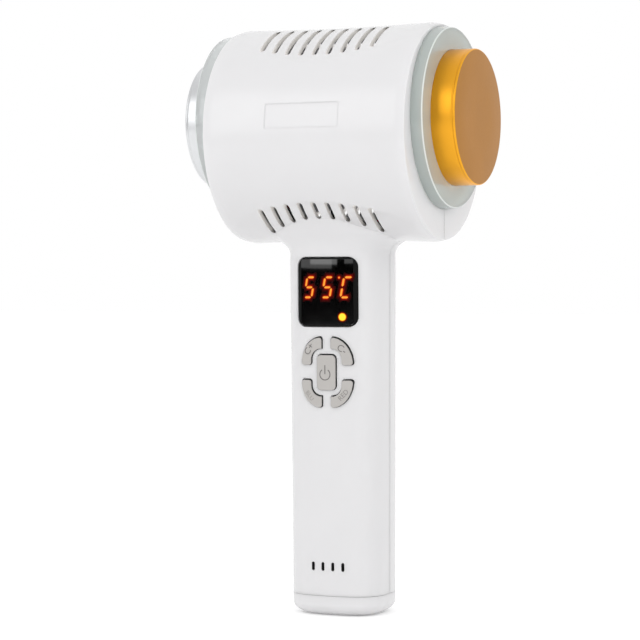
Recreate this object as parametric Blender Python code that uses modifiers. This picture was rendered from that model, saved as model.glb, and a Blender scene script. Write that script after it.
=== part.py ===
"""Hot and cold facial machine: a hammer-shaped handset with two round heads.

The barrel lies along X with the hot head at +X and the cold head at -X. The handle hangs
down to its foot at Z = 0, and its keys face -Y. Lengths are in metres.
"""
import math

import bpy
import bmesh
from mathutils import Matrix, Vector

# Barrel of the housing
BARREL_BAND = 0.0062
BARREL_HALF_LENGTH = 0.03695
BARREL_SHIFT = 0.00095
BARREL_EDGE = 0.0012
BARREL_WALL = 0.0022
END_BAND_WIDTH = 0.0028
END_BAND_FALL = 0.0006
END_WALL = 0.0028
HEAD_RISE = 0.0048
PARTING_GAP = 0.0003
RIB_HEIGHT = 0.0025
RIB_WIDTH = 0.0015

# Shallow hollows round the vents
HOLLOW_DEPTH = 0.0005
HOLLOW_EDGE_MIDDLE = math.radians(52)
HOLLOW_EDGE_END = math.radians(36)
HOLLOW_RAMP = math.radians(8)

# Vent slots, cut straight in along Y, with their ends on shallow bows
VENT_COUNT = 9
VENT_PITCH = 0.0051
VENT_WIDTH = 0.0020
UPPER_VENT_DROP = 0.0016
UPPER_VENT_LENGTH = 0.0103
UPPER_VENT_BOW = 0.0022
LOWER_VENT_RISE = 0.0080
LOWER_VENT_LENGTH = 0.0055
LOWER_VENT_TOP_BOW = 0.0022
LOWER_VENT_BOTTOM_BOW = 0.0046

# Blank recessed plate on the barrel
PLATE_WIDTH = 0.0270
PLATE_HEIGHT = 0.0084
PLATE_DEPTH = 0.00045

# Handle
GRIP_HALF_WIDTH = 0.01775
GRIP_HALF_DEPTH = 0.0149
GRIP_ROUNDNESS = 2.87
GRIP_WALL = 0.0020
GRIP_TOP_Z = 0.12185
GRIP_FOOT_SHARE = 0.968
NECK_RISE = 0.0075
NECK_HEIGHT = 0.0173
NECK_FILLET = 0.0160
NECK_TURN = math.radians(36)
NECK_SIDE_FILLET = 0.0045
NECK_SIDE_TURN = math.radians(60)
NECK_SIDE_START = 0.0030
NECK_HALF_WIDTH_LIMIT = 0.0260
NECK_ROUNDNESS = 2.1

# Cap on the foot
CAP_HEIGHT = 0.0069
CAP_GAP = 0.0003
CAP_EDGE_HEIGHT = 0.0043
CAP_EDGE_INSET = 0.0060
CAP_WALL = 0.0022
CAP_SPIGOT_HEIGHT = 0.0026
CAP_SPIGOT_WALL = 0.0014
SOCKET_WELL_RADIUS = 0.0043
SOCKET_WELL_DEPTH = 0.0052
SOCKET_WELL_WALL = 0.0018

# Heads, turned about the head axis; each depth is measured along X
HEAD_RADIUS = 0.0232
COLD_HEAD_SHARE = 0.94
HEAD_STAND = 0.0085
HEAD_EDGE = 0.0007
HEAD_WALL = 0.0020
HEAD_FLANGE_WIDTH = 0.0016
HEAD_FLANGE_THICKNESS = 0.0013
HOT_FACE_THICKNESS = 0.0040
COLD_FACE_THICKNESS = 0.0030
COLD_CORE_SHARE = 0.80
COLD_FOOT_THICKNESS = 0.0030

# Clear light rings
RING_BAND = 0.0081
RING_STAND = 0.0041
RING_WALL = 0.0015
RING_EDGE = 0.0012
RING_DRAFT = 0.0004
RING_FLANGE_THICKNESS = 0.0012

# Carrier plates and light boards
CARRIER_THICKNESS = 0.0017
CARRIER_BORE_RADIUS = 0.0080
CARRIER_TUBE_WALL = 0.0019
BOARD_SEAT_WIDTH = 0.0016
BOARD_SEAT_HEIGHT = 0.0016
LIGHT_BOARD_THICKNESS = 0.0010
LIGHT_COUNT = 8
LIGHT_SIZE = 0.0030
LIGHT_HEIGHT = 0.0012
LEAD_NOTCH = 0.0018

# Heating and cooling parts
HEATER_THICKNESS = 0.0006
HEATER_MARGIN = 0.0017
PAD_THICKNESS = 0.0040
SENSOR_RADIUS = 0.0013
SENSOR_LENGTH = 0.0055
PELTIER_SHARE = 1.478
PELTIER_THICKNESS = 0.0036
SINK_SHARE = 1.333
SINK_BASE = 0.0040
SINK_FIN_HEIGHT = 0.0150
SINK_FIN_COUNT = 8
SINK_FIN_THICKNESS = 0.0012
FAN_DEPTH = 0.0100
FAN_RIM = 0.0014
FAN_HUB_SHARE = 0.48
FAN_HUB_WALL = 0.0015
FAN_STRUT_WIDTH = 0.0020
FAN_STRUT_COUNT = 3
FAN_AXLE_RADIUS = 0.0012
FAN_BLADE_COUNT = 7
FAN_BLADE_CHORD = 0.0078
FAN_BLADE_THICKNESS = 0.0009
FAN_BLADE_PITCH = math.radians(38)
FAN_HOLE_SHARE = 0.8
FAN_BLADE_ROOT_SHARE = 0.8
GASKET_WALL = 0.0020

# Screws
SCREW_HEAD_RADIUS = 0.0024
SCREW_HEAD_HEIGHT = 0.0016
SCREW_SHANK_RADIUS = 0.0012
SCREW_LENGTH = 0.0110
SCREW_SEAT_Y = 0.0045
BOSS_RADIUS = 0.0033
BOSS_INSET = 0.0020
GRIP_SCREW_UPPER_Z = 0.0626
GRIP_SCREW_LOWER_Z = 0.0306
SMALL_SCREW_RADIUS = 0.0009
SMALL_SCREW_HEAD_RADIUS = 0.0017
SMALL_SCREW_HEAD_HEIGHT = 0.0012
SMALL_SCREW_LENGTH = 0.0050
STANDOFF_RADIUS = 0.0022
SCREW_CROWN_SHARE = 0.7

# Display
LENS_WIDTH = 0.0223
LENS_HEIGHT = 0.0237
LENS_CORNER = 0.0028
LENS_THICKNESS = 0.0011
LENS_DROP = 0.0096
LENS_LEDGE = 0.0013
LENS_BED_THICKNESS = 0.0012
LENS_BED_MARGIN = 0.0015
MODULE_WIDTH = 0.0188
MODULE_HEIGHT = 0.0145
MODULE_RISE = 0.0020
STATUS_X = 0.0055
STATUS_INSET = 0.00325
STATUS_RADIUS = 0.0013

# Keys
KEYS_DROP = 0.0278
KEY_PROUD = 0.0006
KEY_TRAVEL = 0.0005
KEY_FLANGE = 0.0008
KEY_FLANGE_THICKNESS = 0.0008
POWER_KEY_WIDTH = 0.0070
POWER_KEY_HEIGHT = 0.0121
POWER_KEY_CORNER = 0.0015
KEYS_HALF_WIDTH = 0.0099
KEYS_HALF_HEIGHT = 0.0124
KEYS_ROUNDNESS = 2.45
KEY_BRIDGE = 0.0022
KEY_SIDE_GAP = 0.0034
KEY_CROSS_GAP = 0.0052
KEY_CORNER = 0.0011
KEY_CORNER_SHARE = 0.45
KEY_SPREAD_SHARE = 0.08
SHARP_TURN = math.radians(35)
SWITCH_SIZE = 0.0044
SWITCH_HEIGHT = 0.0020
SWITCH_X = 0.0068
SWITCH_RISE = 0.0085
SWITCH_HOLE_DEPTH = 0.0015
PLUNGER_RADIUS = 0.0011

# Boards and parts in the handle
CONTROL_BOARD_BACK = 0.0037
CONTROL_BOARD_THICKNESS = 0.0012
CONTROL_BOARD_WIDTH = 0.0260
CONTROL_BOARD_DROP = 0.0158
CONTROL_BOARD_RISE = 0.0078
BOARD_SCREW_MARGIN = 0.0026
DRIVER_BOARD_Y = 0.0020
DRIVER_BOARD_THICKNESS = 0.0012
DRIVER_BOARD_WIDTH = 0.0220
DRIVER_BOARD_BOTTOM = 0.0361
DRIVER_BOARD_HEIGHT = 0.0210
DRIVER_POST_RADIUS = 0.0018
DRIVER_POST_X = 0.0085
CHOKE_RADIUS = 0.0042
CHOKE_HEIGHT = 0.0045
CHIP_PLACE_SHARES = ((0.6, 0.25), (0.55, 0.75), (-0.7, 0.85))
SOUND_SLOT_COUNT = 4
SOUND_SLOT_PITCH = 0.0037
SOUND_SLOT_WIDTH = 0.0011
SOUND_SLOT_HEIGHT = 0.0030
SOUND_SLOT_Z = 0.01735
BUZZER_RADIUS = 0.0062
BUZZER_THICKNESS = 0.0036
BUZZER_RING_WALL = 0.0010
JACK_WIDTH = 0.0100
JACK_DEPTH = 0.0090
JACK_HEIGHT = 0.0110
JACK_BORE_RADIUS = 0.0029
JACK_BORE_DEPTH = 0.0095
JACK_PIN_RADIUS = 0.0010
JACK_SHELF = 0.0015

# Leads
LEAD_RADIUS = 0.0009
THIN_LEAD_RADIUS = 0.0006
HEATER_ROUTE_SHARES = (0.7, 0.94)
PELTIER_ROUTE_SHARE = 0.8
LIGHT_ROUTE_SHARES = (0.8, 1.1, 0.7, 0.97)

# Running and seating clearances
FIT = 0.0003
KEY_FIT = 0.0003
OVERRUN = 0.0020

# Facets
ROUND = 40
SMALL_ROUND = 16
TINY_ROUND = 10
ARC = 3
CAP_STEPS = 4
KEY_STEPS = 7
ROUND_END_SHARE = 0.48
EDGE_SHARE = 0.3
BARREL_LEVEL_SHARES = (-0.8, -0.5, -0.2, 0.2, 0.5, 0.8)
NECK_LEVEL_SHARES = (0.14, 0.28, 0.4, 0.52, 0.75, 1)

# Derived places
RING_RADIUS = HEAD_RADIUS + RING_BAND
BARREL_RADIUS = RING_RADIUS + BARREL_BAND
BARREL_AXIS_Z = GRIP_TOP_Z + NECK_RISE + BARREL_RADIUS
HEAD_AXIS_Z = BARREL_AXIS_Z + HEAD_RISE
RING_HOLE_RADIUS = RING_RADIUS + FIT
COLD_HEAD_RADIUS = HEAD_RADIUS * COLD_HEAD_SHARE
BARREL_STRAIGHT = BARREL_HALF_LENGTH - END_BAND_WIDTH
HOT_END_X = BARREL_HALF_LENGTH + BARREL_SHIFT
COLD_END_X = BARREL_HALF_LENGTH - BARREL_SHIFT
RING_FACE_X = HOT_END_X + RING_STAND
HEAD_FACE_X = RING_FACE_X + HEAD_STAND
CAVITY_RADIUS = BARREL_RADIUS - BARREL_WALL
CAVITY_HALF_LENGTH = COLD_END_X - END_WALL
RING_FLANGE_OUTER_X = CAVITY_HALF_LENGTH - FIT
RING_FLANGE_INNER_X = RING_FLANGE_OUTER_X - RING_FLANGE_THICKNESS
CARRIER_OUTER_X = RING_FLANGE_INNER_X - FIT
CARRIER_INNER_X = CARRIER_OUTER_X - CARRIER_THICKNESS
CARRIER_RADIUS = CAVITY_RADIUS - FIT
RIB_OUTER_X = CARRIER_INNER_X - FIT
HEAD_FLANGE_OUTER_X = RING_FACE_X - RING_WALL - FIT
HEAD_FLANGE_INNER_X = HEAD_FLANGE_OUTER_X - HEAD_FLANGE_THICKNESS
HEAD_FLANGE_RADIUS = HEAD_RADIUS + HEAD_FLANGE_WIDTH
HEAD_SLEEVE_RADIUS = HEAD_RADIUS - HEAD_WALL
SUPPORT_TOP_X = HEAD_FLANGE_INNER_X - FIT
SUPPORT_OUTER_RADIUS = HEAD_FLANGE_RADIUS
SUPPORT_INNER_RADIUS = SUPPORT_OUTER_RADIUS - CARRIER_TUBE_WALL
BOARD_SEAT_X = CARRIER_OUTER_X + BOARD_SEAT_HEIGHT
LIGHT_BOARD_X = BOARD_SEAT_X + FIT
LIGHT_BOARD_INNER_RADIUS = SUPPORT_OUTER_RADIUS + FIT
LIGHT_BOARD_OUTER_RADIUS = RING_RADIUS - RING_WALL - FIT
COLD_FOOT_RADIUS = SUPPORT_INNER_RADIUS - FIT - GASKET_WALL - FIT
COLD_CORE_RADIUS = COLD_FOOT_RADIUS * COLD_CORE_SHARE
PELTIER_SIZE = COLD_FOOT_RADIUS * PELTIER_SHARE
SINK_SIZE = PELTIER_SIZE * SINK_SHARE
FAN_SIZE = SINK_SIZE
FAN_BORE_RADIUS = FAN_SIZE / 2 - FAN_RIM
FAN_HUB_RADIUS = FAN_BORE_RADIUS * FAN_HUB_SHARE
FAN_HOLE_SPACING = FAN_SIZE * FAN_HOLE_SHARE
BARREL_SCREW_X = RIB_OUTER_X - BOSS_RADIUS - FIT
BARREL_SCREW_RISE = CAVITY_RADIUS - BOSS_RADIUS - BOSS_INSET
PELTIER_OUTER_X = CARRIER_OUTER_X + PELTIER_THICKNESS / 4
PELTIER_INNER_X = PELTIER_OUTER_X - PELTIER_THICKNESS
SINK_OUTER_X = PELTIER_INNER_X - FIT
SINK_FIN_X = SINK_OUTER_X - SINK_BASE
SINK_INNER_X = SINK_FIN_X - SINK_FIN_HEIGHT
FAN_OUTER_X = SINK_INNER_X - FIT
FAN_INNER_X = FAN_OUTER_X - FAN_DEPTH
CAP_TOP_Z = CAP_HEIGHT
GRIP_FOOT_Z = CAP_TOP_Z + CAP_GAP
NECK_TOP_Z = GRIP_TOP_Z + NECK_HEIGHT
LENS_CENTRE_Z = GRIP_TOP_Z - LENS_DROP
KEYS_CENTRE_Z = LENS_CENTRE_Z - KEYS_DROP
CONTROL_BOARD_TOP = GRIP_TOP_Z + CONTROL_BOARD_RISE
CONTROL_BOARD_BOTTOM = KEYS_CENTRE_Z - CONTROL_BOARD_DROP
DRIVER_BOARD_TOP = DRIVER_BOARD_BOTTOM + DRIVER_BOARD_HEIGHT
JACK_BOTTOM_Z = SOCKET_WELL_DEPTH + FIT
JACK_TOP_Z = JACK_BOTTOM_Z + JACK_HEIGHT

WHITE = ("white_shell", (0.87, 0.87, 0.88, 1), 0.18, 0.0)
GREY = ("grey_key", (0.55, 0.53, 0.50, 1), 0.45, 0.0)
GOLD = ("gold_head", (0.85, 0.48, 0.10, 1), 0.28, 1.0)
SILVER = ("silver_head", (0.80, 0.81, 0.82, 1), 0.20, 1.0)
CLEAR = ("clear_ring", (0.72, 0.80, 0.76, 1), 0.15, 0.0)
BLACK = ("black_lens", (0.01, 0.01, 0.012, 1), 0.06, 0.0)
DARK = ("dark_plastic", (0.05, 0.05, 0.055, 1), 0.5, 0.0)
GREEN = ("green_board", (0.03, 0.20, 0.09, 1), 0.45, 0.0)
METAL = ("bare_metal", (0.62, 0.62, 0.63, 1), 0.35, 1.0)
CREAM = ("cream_plastic", (0.78, 0.76, 0.70, 1), 0.5, 0.0)
FOAM = ("grey_foam", (0.30, 0.30, 0.31, 1), 0.95, 0.0)
COPPER = ("copper_wire", (0.72, 0.36, 0.20, 1), 0.35, 1.0)
RED = ("red_lead", (0.60, 0.03, 0.03, 1), 0.45, 0.0)
LAMP = ("lamp", (1.0, 0.75, 0.10, 1), 0.3, 0.0)


def clear_scene():
    for thing in list(bpy.data.objects):
        bpy.data.objects.remove(thing, do_unlink=True)


def collection(name):
    group = bpy.data.collections.get(name)
    if group is None:
        group = bpy.data.collections.new(name)
        bpy.context.scene.collection.children.link(group)
    return group


def material(finish):
    name, colour, roughness, metallic = finish
    found = bpy.data.materials.get(name)
    if found:
        return found
    made = bpy.data.materials.new(name)
    made.use_nodes = True
    shader = made.node_tree.nodes["Principled BSDF"]
    shader.inputs["Base Color"].default_value = colour
    shader.inputs["Roughness"].default_value = roughness
    shader.inputs["Metallic"].default_value = metallic
    return made


def add_object(name, mesh, finish=None):
    """An object is a part when it has a finish, and otherwise a cutter."""
    item = bpy.data.objects.new(name, mesh)
    if finish:
        collection("facial_machine").objects.link(item)
        mesh.materials.clear()
        mesh.materials.append(material(finish))
    else:
        collection("cutters").objects.link(item)
        item.hide_render = True
        item.display_type = 'WIRE'
    return item


def from_bmesh(name, shape, finish=None):
    mesh = bpy.data.meshes.new(name)
    bmesh.ops.recalc_face_normals(shape, faces=shape.faces)
    shape.to_mesh(mesh)
    shape.free()
    return add_object(name, mesh, finish)


def box(name, low, high, finish=None):
    shape = bmesh.new()
    bmesh.ops.create_cube(shape, size=1)
    size = [b - a for a, b in zip(low, high)]
    middle = [(a + b) / 2 for a, b in zip(low, high)]
    bmesh.ops.scale(shape, vec=size, verts=shape.verts)
    bmesh.ops.translate(shape, vec=middle, verts=shape.verts)
    return from_bmesh(name, shape, finish)


def facing(direction):
    """A turn that takes +Z to the given direction."""
    return Vector((0, 0, 1)).rotation_difference(Vector(direction)).to_matrix().to_4x4()


def rod(name, base, direction, length, radius, sides=SMALL_ROUND, finish=None):
    """A cylinder from its base centre along a direction."""
    shape = bmesh.new()
    bmesh.ops.create_cone(shape, cap_ends=True, segments=sides, radius1=radius,
                          radius2=radius, depth=length)
    bmesh.ops.translate(shape, vec=(0, 0, length / 2), verts=shape.verts)
    place = Matrix.Translation(Vector(base)) @ facing(direction)
    bmesh.ops.transform(shape, matrix=place, verts=shape.verts)
    return from_bmesh(name, shape, finish)


def turned(name, profile, base, direction, closed, sides=ROUND, finish=None):
    """A profile of (radius, height) points, top first on its outer side, turned by Screw."""
    mesh = bpy.data.meshes.new(name)
    count = len(profile)
    edges = [(i, i + 1) for i in range(count - 1)]
    if closed:
        edges.append((count - 1, 0))
    mesh.from_pydata([(radius, 0, height) for radius, height in profile], edges, [])
    item = add_object(name, mesh, finish)
    screw = item.modifiers.new("turn", 'SCREW')
    screw.axis = 'Z'
    screw.steps = sides
    screw.render_steps = sides
    screw.use_merge_vertices = True
    screw.merge_threshold = 0.00001
    item.matrix_world = Matrix.Translation(Vector(base)) @ facing(direction)
    return item


def slab(name, outline, front, thickness, finish=None):
    """A flat outline of (x, z) points, from y = front going back by its thickness."""
    curve = bpy.data.curves.new(name, 'CURVE')
    curve.dimensions = '2D'
    curve.fill_mode = 'BOTH'
    curve.extrude = thickness / 2
    spline = curve.splines.new('POLY')
    spline.points.add(len(outline) - 1)
    for point, (x, z) in zip(spline.points, outline):
        point.co = (x, z, 0, 1)
    spline.use_cyclic_u = True
    item = bpy.data.objects.new(name, curve)
    collection("cutters").objects.link(item)
    item.matrix_world = (Matrix.Translation((0, front + thickness / 2, 0))
                         @ Matrix.Rotation(math.pi / 2, 4, 'X'))
    return solid_from_curve(item, finish)


def solid_from_curve(item, finish=None):
    bpy.context.view_layer.update()
    placed = item.evaluated_get(bpy.context.evaluated_depsgraph_get())
    mesh = bpy.data.meshes.new_from_object(placed)
    mesh.transform(item.matrix_world)
    name = item.name
    bpy.data.objects.remove(item, do_unlink=True)
    shape = bmesh.new()
    shape.from_mesh(mesh)
    bpy.data.meshes.remove(mesh)
    bmesh.ops.remove_doubles(shape, verts=shape.verts, dist=0.00001)
    return from_bmesh(name, shape, finish)


def baked(item):
    """The item as plain geometry in world space, with its modifiers applied."""
    bpy.context.view_layer.update()
    placed = item.evaluated_get(bpy.context.evaluated_depsgraph_get())
    mesh = bpy.data.meshes.new_from_object(placed)
    mesh.transform(item.matrix_world)
    item.modifiers.clear()
    item.data = mesh
    item.matrix_world = Matrix.Identity(4)
    return item


def joined(name, items):
    """Several cutters that don't touch, as one cutter."""
    shape = bmesh.new()
    for item in items:
        baked(item)
        shape.from_mesh(item.data)
        bpy.data.objects.remove(item, do_unlink=True)
    return from_bmesh(name, shape)


def combine(target, other, operation):
    """Cuts away, adds or keeps the other shape with a live Boolean modifier."""
    step = target.modifiers.new(other.name, 'BOOLEAN')
    step.operation = operation
    step.solver = 'EXACT'
    step.object = other
    return target


def cut(target, other):
    return combine(target, other, 'DIFFERENCE')


def add(target, other):
    return combine(target, other, 'UNION')


def lead(name, points, radius, finish):
    """A round lead through its points, on a smooth curve."""
    guide = bpy.data.curves.new(name, 'CURVE')
    guide.dimensions = '3D'
    guide.bevel_depth = radius
    guide.bevel_resolution = 1
    guide.use_fill_caps = True
    route = smooth_route(points)
    spline = guide.splines.new('POLY')
    spline.points.add(len(route) - 1)
    for point, place in zip(spline.points, route):
        point.co = (*place, 1)
    item = bpy.data.objects.new(name, guide)
    collection("cutters").objects.link(item)
    return solid_from_curve(item, finish)


def smooth_route(points, steps=3):
    """Catmull-Rom points between the route's own points."""
    ends = [Vector(p) for p in points]
    ends = [ends[0] * 2 - ends[1]] + ends + [ends[-1] * 2 - ends[-2]]
    route = []
    for a, b, c, d in zip(ends, ends[1:], ends[2:], ends[3:]):
        for step in range(steps):
            t = step / steps
            route.append(0.5 * (2 * b + (c - a) * t + (2 * a - 5 * b + 4 * c - d) * t ** 2
                                + (3 * b - a - 3 * c + d) * t ** 3))
    return route + [ends[-2]]


def arc_points(centre, radius, start, turn, steps):
    """Points round a corner, from an angle through a turn, both in radians."""
    return [(centre[0] + radius * math.cos(start + turn * i / steps),
             centre[1] + radius * math.sin(start + turn * i / steps)) for i in range(steps + 1)]


def rounded_rectangle(width, height, corner, centre_z, steps=ARC, centre_x=0.0):
    """Outline of (x, z) points, counter-clockwise."""
    right = width / 2 - corner
    top = height / 2 - corner
    points = []
    for quarter, (x, z) in enumerate(((right, top), (-right, top), (-right, -top), (right, -top))):
        start = quarter * math.pi / 2
        points += arc_points((centre_x + x, centre_z + z), corner, start, math.pi / 2, steps)
    return points


def loft(name, sections, finish=None):
    """Closed solid through rings of equally many points, with flat ends."""
    shape = bmesh.new()
    rings = [[shape.verts.new(point) for point in section] for section in sections]
    for lower, upper in zip(rings, rings[1:]):
        for i in range(len(lower)):
            j = (i + 1) % len(lower)
            shape.faces.new((lower[i], lower[j], upper[j], upper[i]))
    shape.faces.new(rings[0])
    shape.faces.new(rings[-1])
    return from_bmesh(name, shape, finish)


def hollow_edge(x):
    """Angle from the top, or from the bottom, at which the hollow round the vents starts."""
    share = min(abs(x) / BARREL_STRAIGHT, 1)
    return HOLLOW_EDGE_MIDDLE - (HOLLOW_EDGE_MIDDLE - HOLLOW_EDGE_END) * share ** 2


def ring_angles(x):
    """Angles round the barrel, from the top towards -Y, with lines on the hollows' edges."""
    edge = hollow_edge(x)
    inner = edge - HOLLOW_RAMP
    crown = [inner * i / 4 for i in range(5)] + [edge]
    side = [edge + (math.pi - 2 * edge) * i / 10 for i in range(1, 10)]
    half = crown + side + [math.pi - a for a in reversed(crown)]
    return half + [2 * math.pi - a for a in reversed(half[1:-1])]


def hollow_depth(x, angle):
    """Depth of the hollow at a place on the barrel."""
    fold = abs((angle + math.pi) % (2 * math.pi) - math.pi)
    fold = min(fold, math.pi - fold)
    reach = (hollow_edge(x) - fold) / HOLLOW_RAMP
    fade = max(0.0, 1 - (x / (BARREL_STRAIGHT - BARREL_EDGE)) ** 2)
    return HOLLOW_DEPTH * fade * min(max(reach, 0.0), 1.0)


def barrel_ring(x, radius):
    """Points round the barrel at a distance along X from its middle."""
    ring = []
    for angle in ring_angles(x):
        reach = radius - hollow_depth(x, angle)
        ring.append((x + BARREL_SHIFT, -reach * math.sin(angle), BARREL_AXIS_Z + reach * math.cos(angle)))
    return ring


def end_profile():
    """Stations of one barrel end, from the straight wall over the end band: (x, radius)."""
    rim = (BARREL_HALF_LENGTH, BARREL_RADIUS - END_BAND_FALL)
    corner = (BARREL_STRAIGHT, BARREL_RADIUS)
    start = (BARREL_STRAIGHT - BARREL_EDGE, BARREL_RADIUS)
    share = BARREL_EDGE / END_BAND_WIDTH
    end = tuple(c + (e - c) * share for c, e in zip(corner, rim))
    stations = []
    for i in range(ARC + 1):
        t = i / ARC
        stations.append(tuple(a * (1 - t) ** 2 + 2 * b * t * (1 - t) + c * t ** 2
                              for a, b, c in zip(start, corner, end)))
    return stations + [rim]


def barrel_skin():
    """Outside of the barrel: round, with a band at each end that falls in a little."""
    ends = end_profile()
    reach = ends[0][0]
    middle = [(reach * share, BARREL_RADIUS) for share in BARREL_LEVEL_SHARES]
    stations = [(-x, radius) for x, radius in reversed(ends)] + middle + ends
    return loft("barrel_skin", [barrel_ring(*station) for station in stations])


def grip_share(z):
    """The handle narrows a little from its top to its foot."""
    down = min(max((GRIP_TOP_Z - z) / (GRIP_TOP_Z - GRIP_FOOT_Z), 0), 1)
    return 1 - (1 - GRIP_FOOT_SHARE) * down


def grip_depth(x, z, inset=0.0):
    """Distance of the handle's front, or of its hollow, from the parting plane at a place."""
    width = GRIP_HALF_WIDTH * grip_share(z) - inset
    depth = GRIP_HALF_DEPTH * grip_share(z) - inset
    return depth * (1 - abs(x / width) ** GRIP_ROUNDNESS) ** (1 / GRIP_ROUNDNESS)


def flare(height, radius, turn):
    """How far a fillet, then a straight slope, has moved out at a height above its start."""
    bend = radius * math.sin(turn)
    if height <= 0:
        return 0.0
    if height < bend:
        return radius - math.sqrt(radius ** 2 - height ** 2)
    return radius * (1 - math.cos(turn)) + (height - bend) * math.tan(turn)


def grip_section(z, inset=0.0, steps=9):
    """One level of the handle: a rounded rectangle that turns rounder up the neck."""
    share = grip_share(z)
    above = z - GRIP_TOP_Z
    width = GRIP_HALF_WIDTH * share + flare(above - NECK_SIDE_START, NECK_SIDE_FILLET, NECK_SIDE_TURN)
    width = min(width, NECK_HALF_WIDTH_LIMIT) - inset
    depth = GRIP_HALF_DEPTH * share + flare(above, NECK_FILLET, NECK_TURN) - inset
    up = min(max(above / NECK_HEIGHT, 0), 1)
    power = 2 / (GRIP_ROUNDNESS + (NECK_ROUNDNESS - GRIP_ROUNDNESS) * up)
    quarter = []
    for i in range(steps):
        angle = math.pi / 2 * i / steps
        quarter.append((width * math.cos(angle) ** power, depth * math.sin(angle) ** power))
    corner = [(0.0, depth)]
    half = quarter + corner + [(-x, y) for x, y in reversed(quarter[1:])]
    return [(x, y, z) for x, y in half] + [(-x, -y, z) for x, y in half]


def grip_skin():
    levels = [GRIP_FOOT_Z, (GRIP_FOOT_Z + GRIP_TOP_Z) / 2, GRIP_TOP_Z]
    levels += [GRIP_TOP_Z + NECK_HEIGHT * share for share in NECK_LEVEL_SHARES]
    return loft("grip_skin", [grip_section(z) for z in levels])


def grip_cavity():
    levels = [GRIP_FOOT_Z - OVERRUN, GRIP_TOP_Z, NECK_TOP_Z]
    sections = [grip_section(min(z, GRIP_TOP_Z), GRIP_WALL, 7) for z in levels]
    sections = [[(x, y, z) for x, y, _ in ring] for ring, z in zip(sections, levels)]
    return loft("grip_cavity", sections)


def barrel_cavity():
    """Inside of the barrel, with a groove that leaves a rib behind each carrier plate."""
    full, low = CAVITY_RADIUS, CAVITY_RADIUS - RIB_HEIGHT
    outer, inner = RIB_OUTER_X, RIB_OUTER_X - RIB_WIDTH
    half = [(0, CAVITY_HALF_LENGTH), (full, CAVITY_HALF_LENGTH), (full, outer), (low, outer),
            (low, inner), (full, inner)]
    profile = half + [(radius, -height) for radius, height in reversed(half)]
    return turned("barrel_cavity", profile, (0, 0, BARREL_AXIS_Z), (1, 0, 0), False)


def shell_screw_places():
    """(x, z, depth of the housing there) of the screws through the rear shell."""
    high = BARREL_AXIS_Z + BARREL_SCREW_RISE
    places = [(-BARREL_SCREW_X, high, BARREL_RADIUS), (BARREL_SCREW_X, high, BARREL_RADIUS)]
    return places + [(0, GRIP_SCREW_UPPER_Z, GRIP_HALF_DEPTH), (0, GRIP_SCREW_LOWER_Z, GRIP_HALF_DEPTH)]


def board_screw_places():
    top = CONTROL_BOARD_TOP - BOARD_SCREW_MARGIN
    bottom = CONTROL_BOARD_BOTTOM + BOARD_SCREW_MARGIN
    side = CONTROL_BOARD_WIDTH / 2 - BOARD_SCREW_MARGIN
    return [(side, top), (-side, bottom)]


def inner_features():
    """Everything that stands on the inside of the two shells."""
    posts = []
    for index, (x, z, depth) in enumerate(shell_screw_places()):
        posts.append(rod(f"boss_{index}", (x, -depth, z), (0, 1, 0), 2 * depth, BOSS_RADIUS))
    board_front = CONTROL_BOARD_BACK + CONTROL_BOARD_THICKNESS + FIT
    for index, (x, z) in enumerate(board_screw_places()):
        length = GRIP_HALF_DEPTH - board_front
        posts.append(rod(f"standoff_{index}", (x, -GRIP_HALF_DEPTH, z), (0, 1, 0), length,
                         STANDOFF_RADIUS, TINY_ROUND))
    driver_back = DRIVER_BOARD_Y + DRIVER_BOARD_THICKNESS + FIT
    for side in (-1, 1):
        z = (DRIVER_BOARD_BOTTOM + DRIVER_BOARD_TOP) / 2
        length = GRIP_HALF_DEPTH - driver_back
        posts.append(rod(f"driver_post_{side:+d}", (side * DRIVER_POST_X, driver_back, z), (0, 1, 0),
                         length, DRIVER_POST_RADIUS, TINY_ROUND))
    return posts


def buzzer_front():
    """Depth at which the flat buzzer rests on the curved wall."""
    return grip_depth(BUZZER_RADIUS, SOUND_SLOT_Z, GRIP_WALL) - FIT


def buzzer_ring():
    """Round wall on the front shell that holds the buzzer."""
    outer = BUZZER_RADIUS + FIT + BUZZER_RING_WALL
    inner = BUZZER_RADIUS + FIT
    front = grip_depth(0, SOUND_SLOT_Z)
    back = buzzer_front() - BUZZER_THICKNESS
    profile = [(outer, -back), (outer, -front), (inner, -front), (inner, -back)]
    return turned("buzzer_ring", profile, (0, 0, SOUND_SLOT_Z), (0, 1, 0), True, SMALL_ROUND)


def jack_shelf():
    """Rib on the rear shell just above the power jack."""
    low = (-JACK_WIDTH / 2, JACK_DEPTH / 4, JACK_TOP_Z + FIT)
    high = (JACK_WIDTH / 2, grip_depth(0, JACK_TOP_Z), JACK_TOP_Z + FIT + JACK_SHELF)
    return box("jack_shelf", low, high)


def housing_skin():
    skin = add(barrel_skin(), grip_skin())
    return baked(skin)


def housing_core():
    """The hollow inside the housing, less the bosses that stand in it."""
    core = add(barrel_cavity(), grip_cavity())
    cut(core, joined("posts", inner_features()))
    cut(core, buzzer_ring())
    cut(core, lens_bed())
    cut(core, jack_shelf())
    return baked(core)


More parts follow.
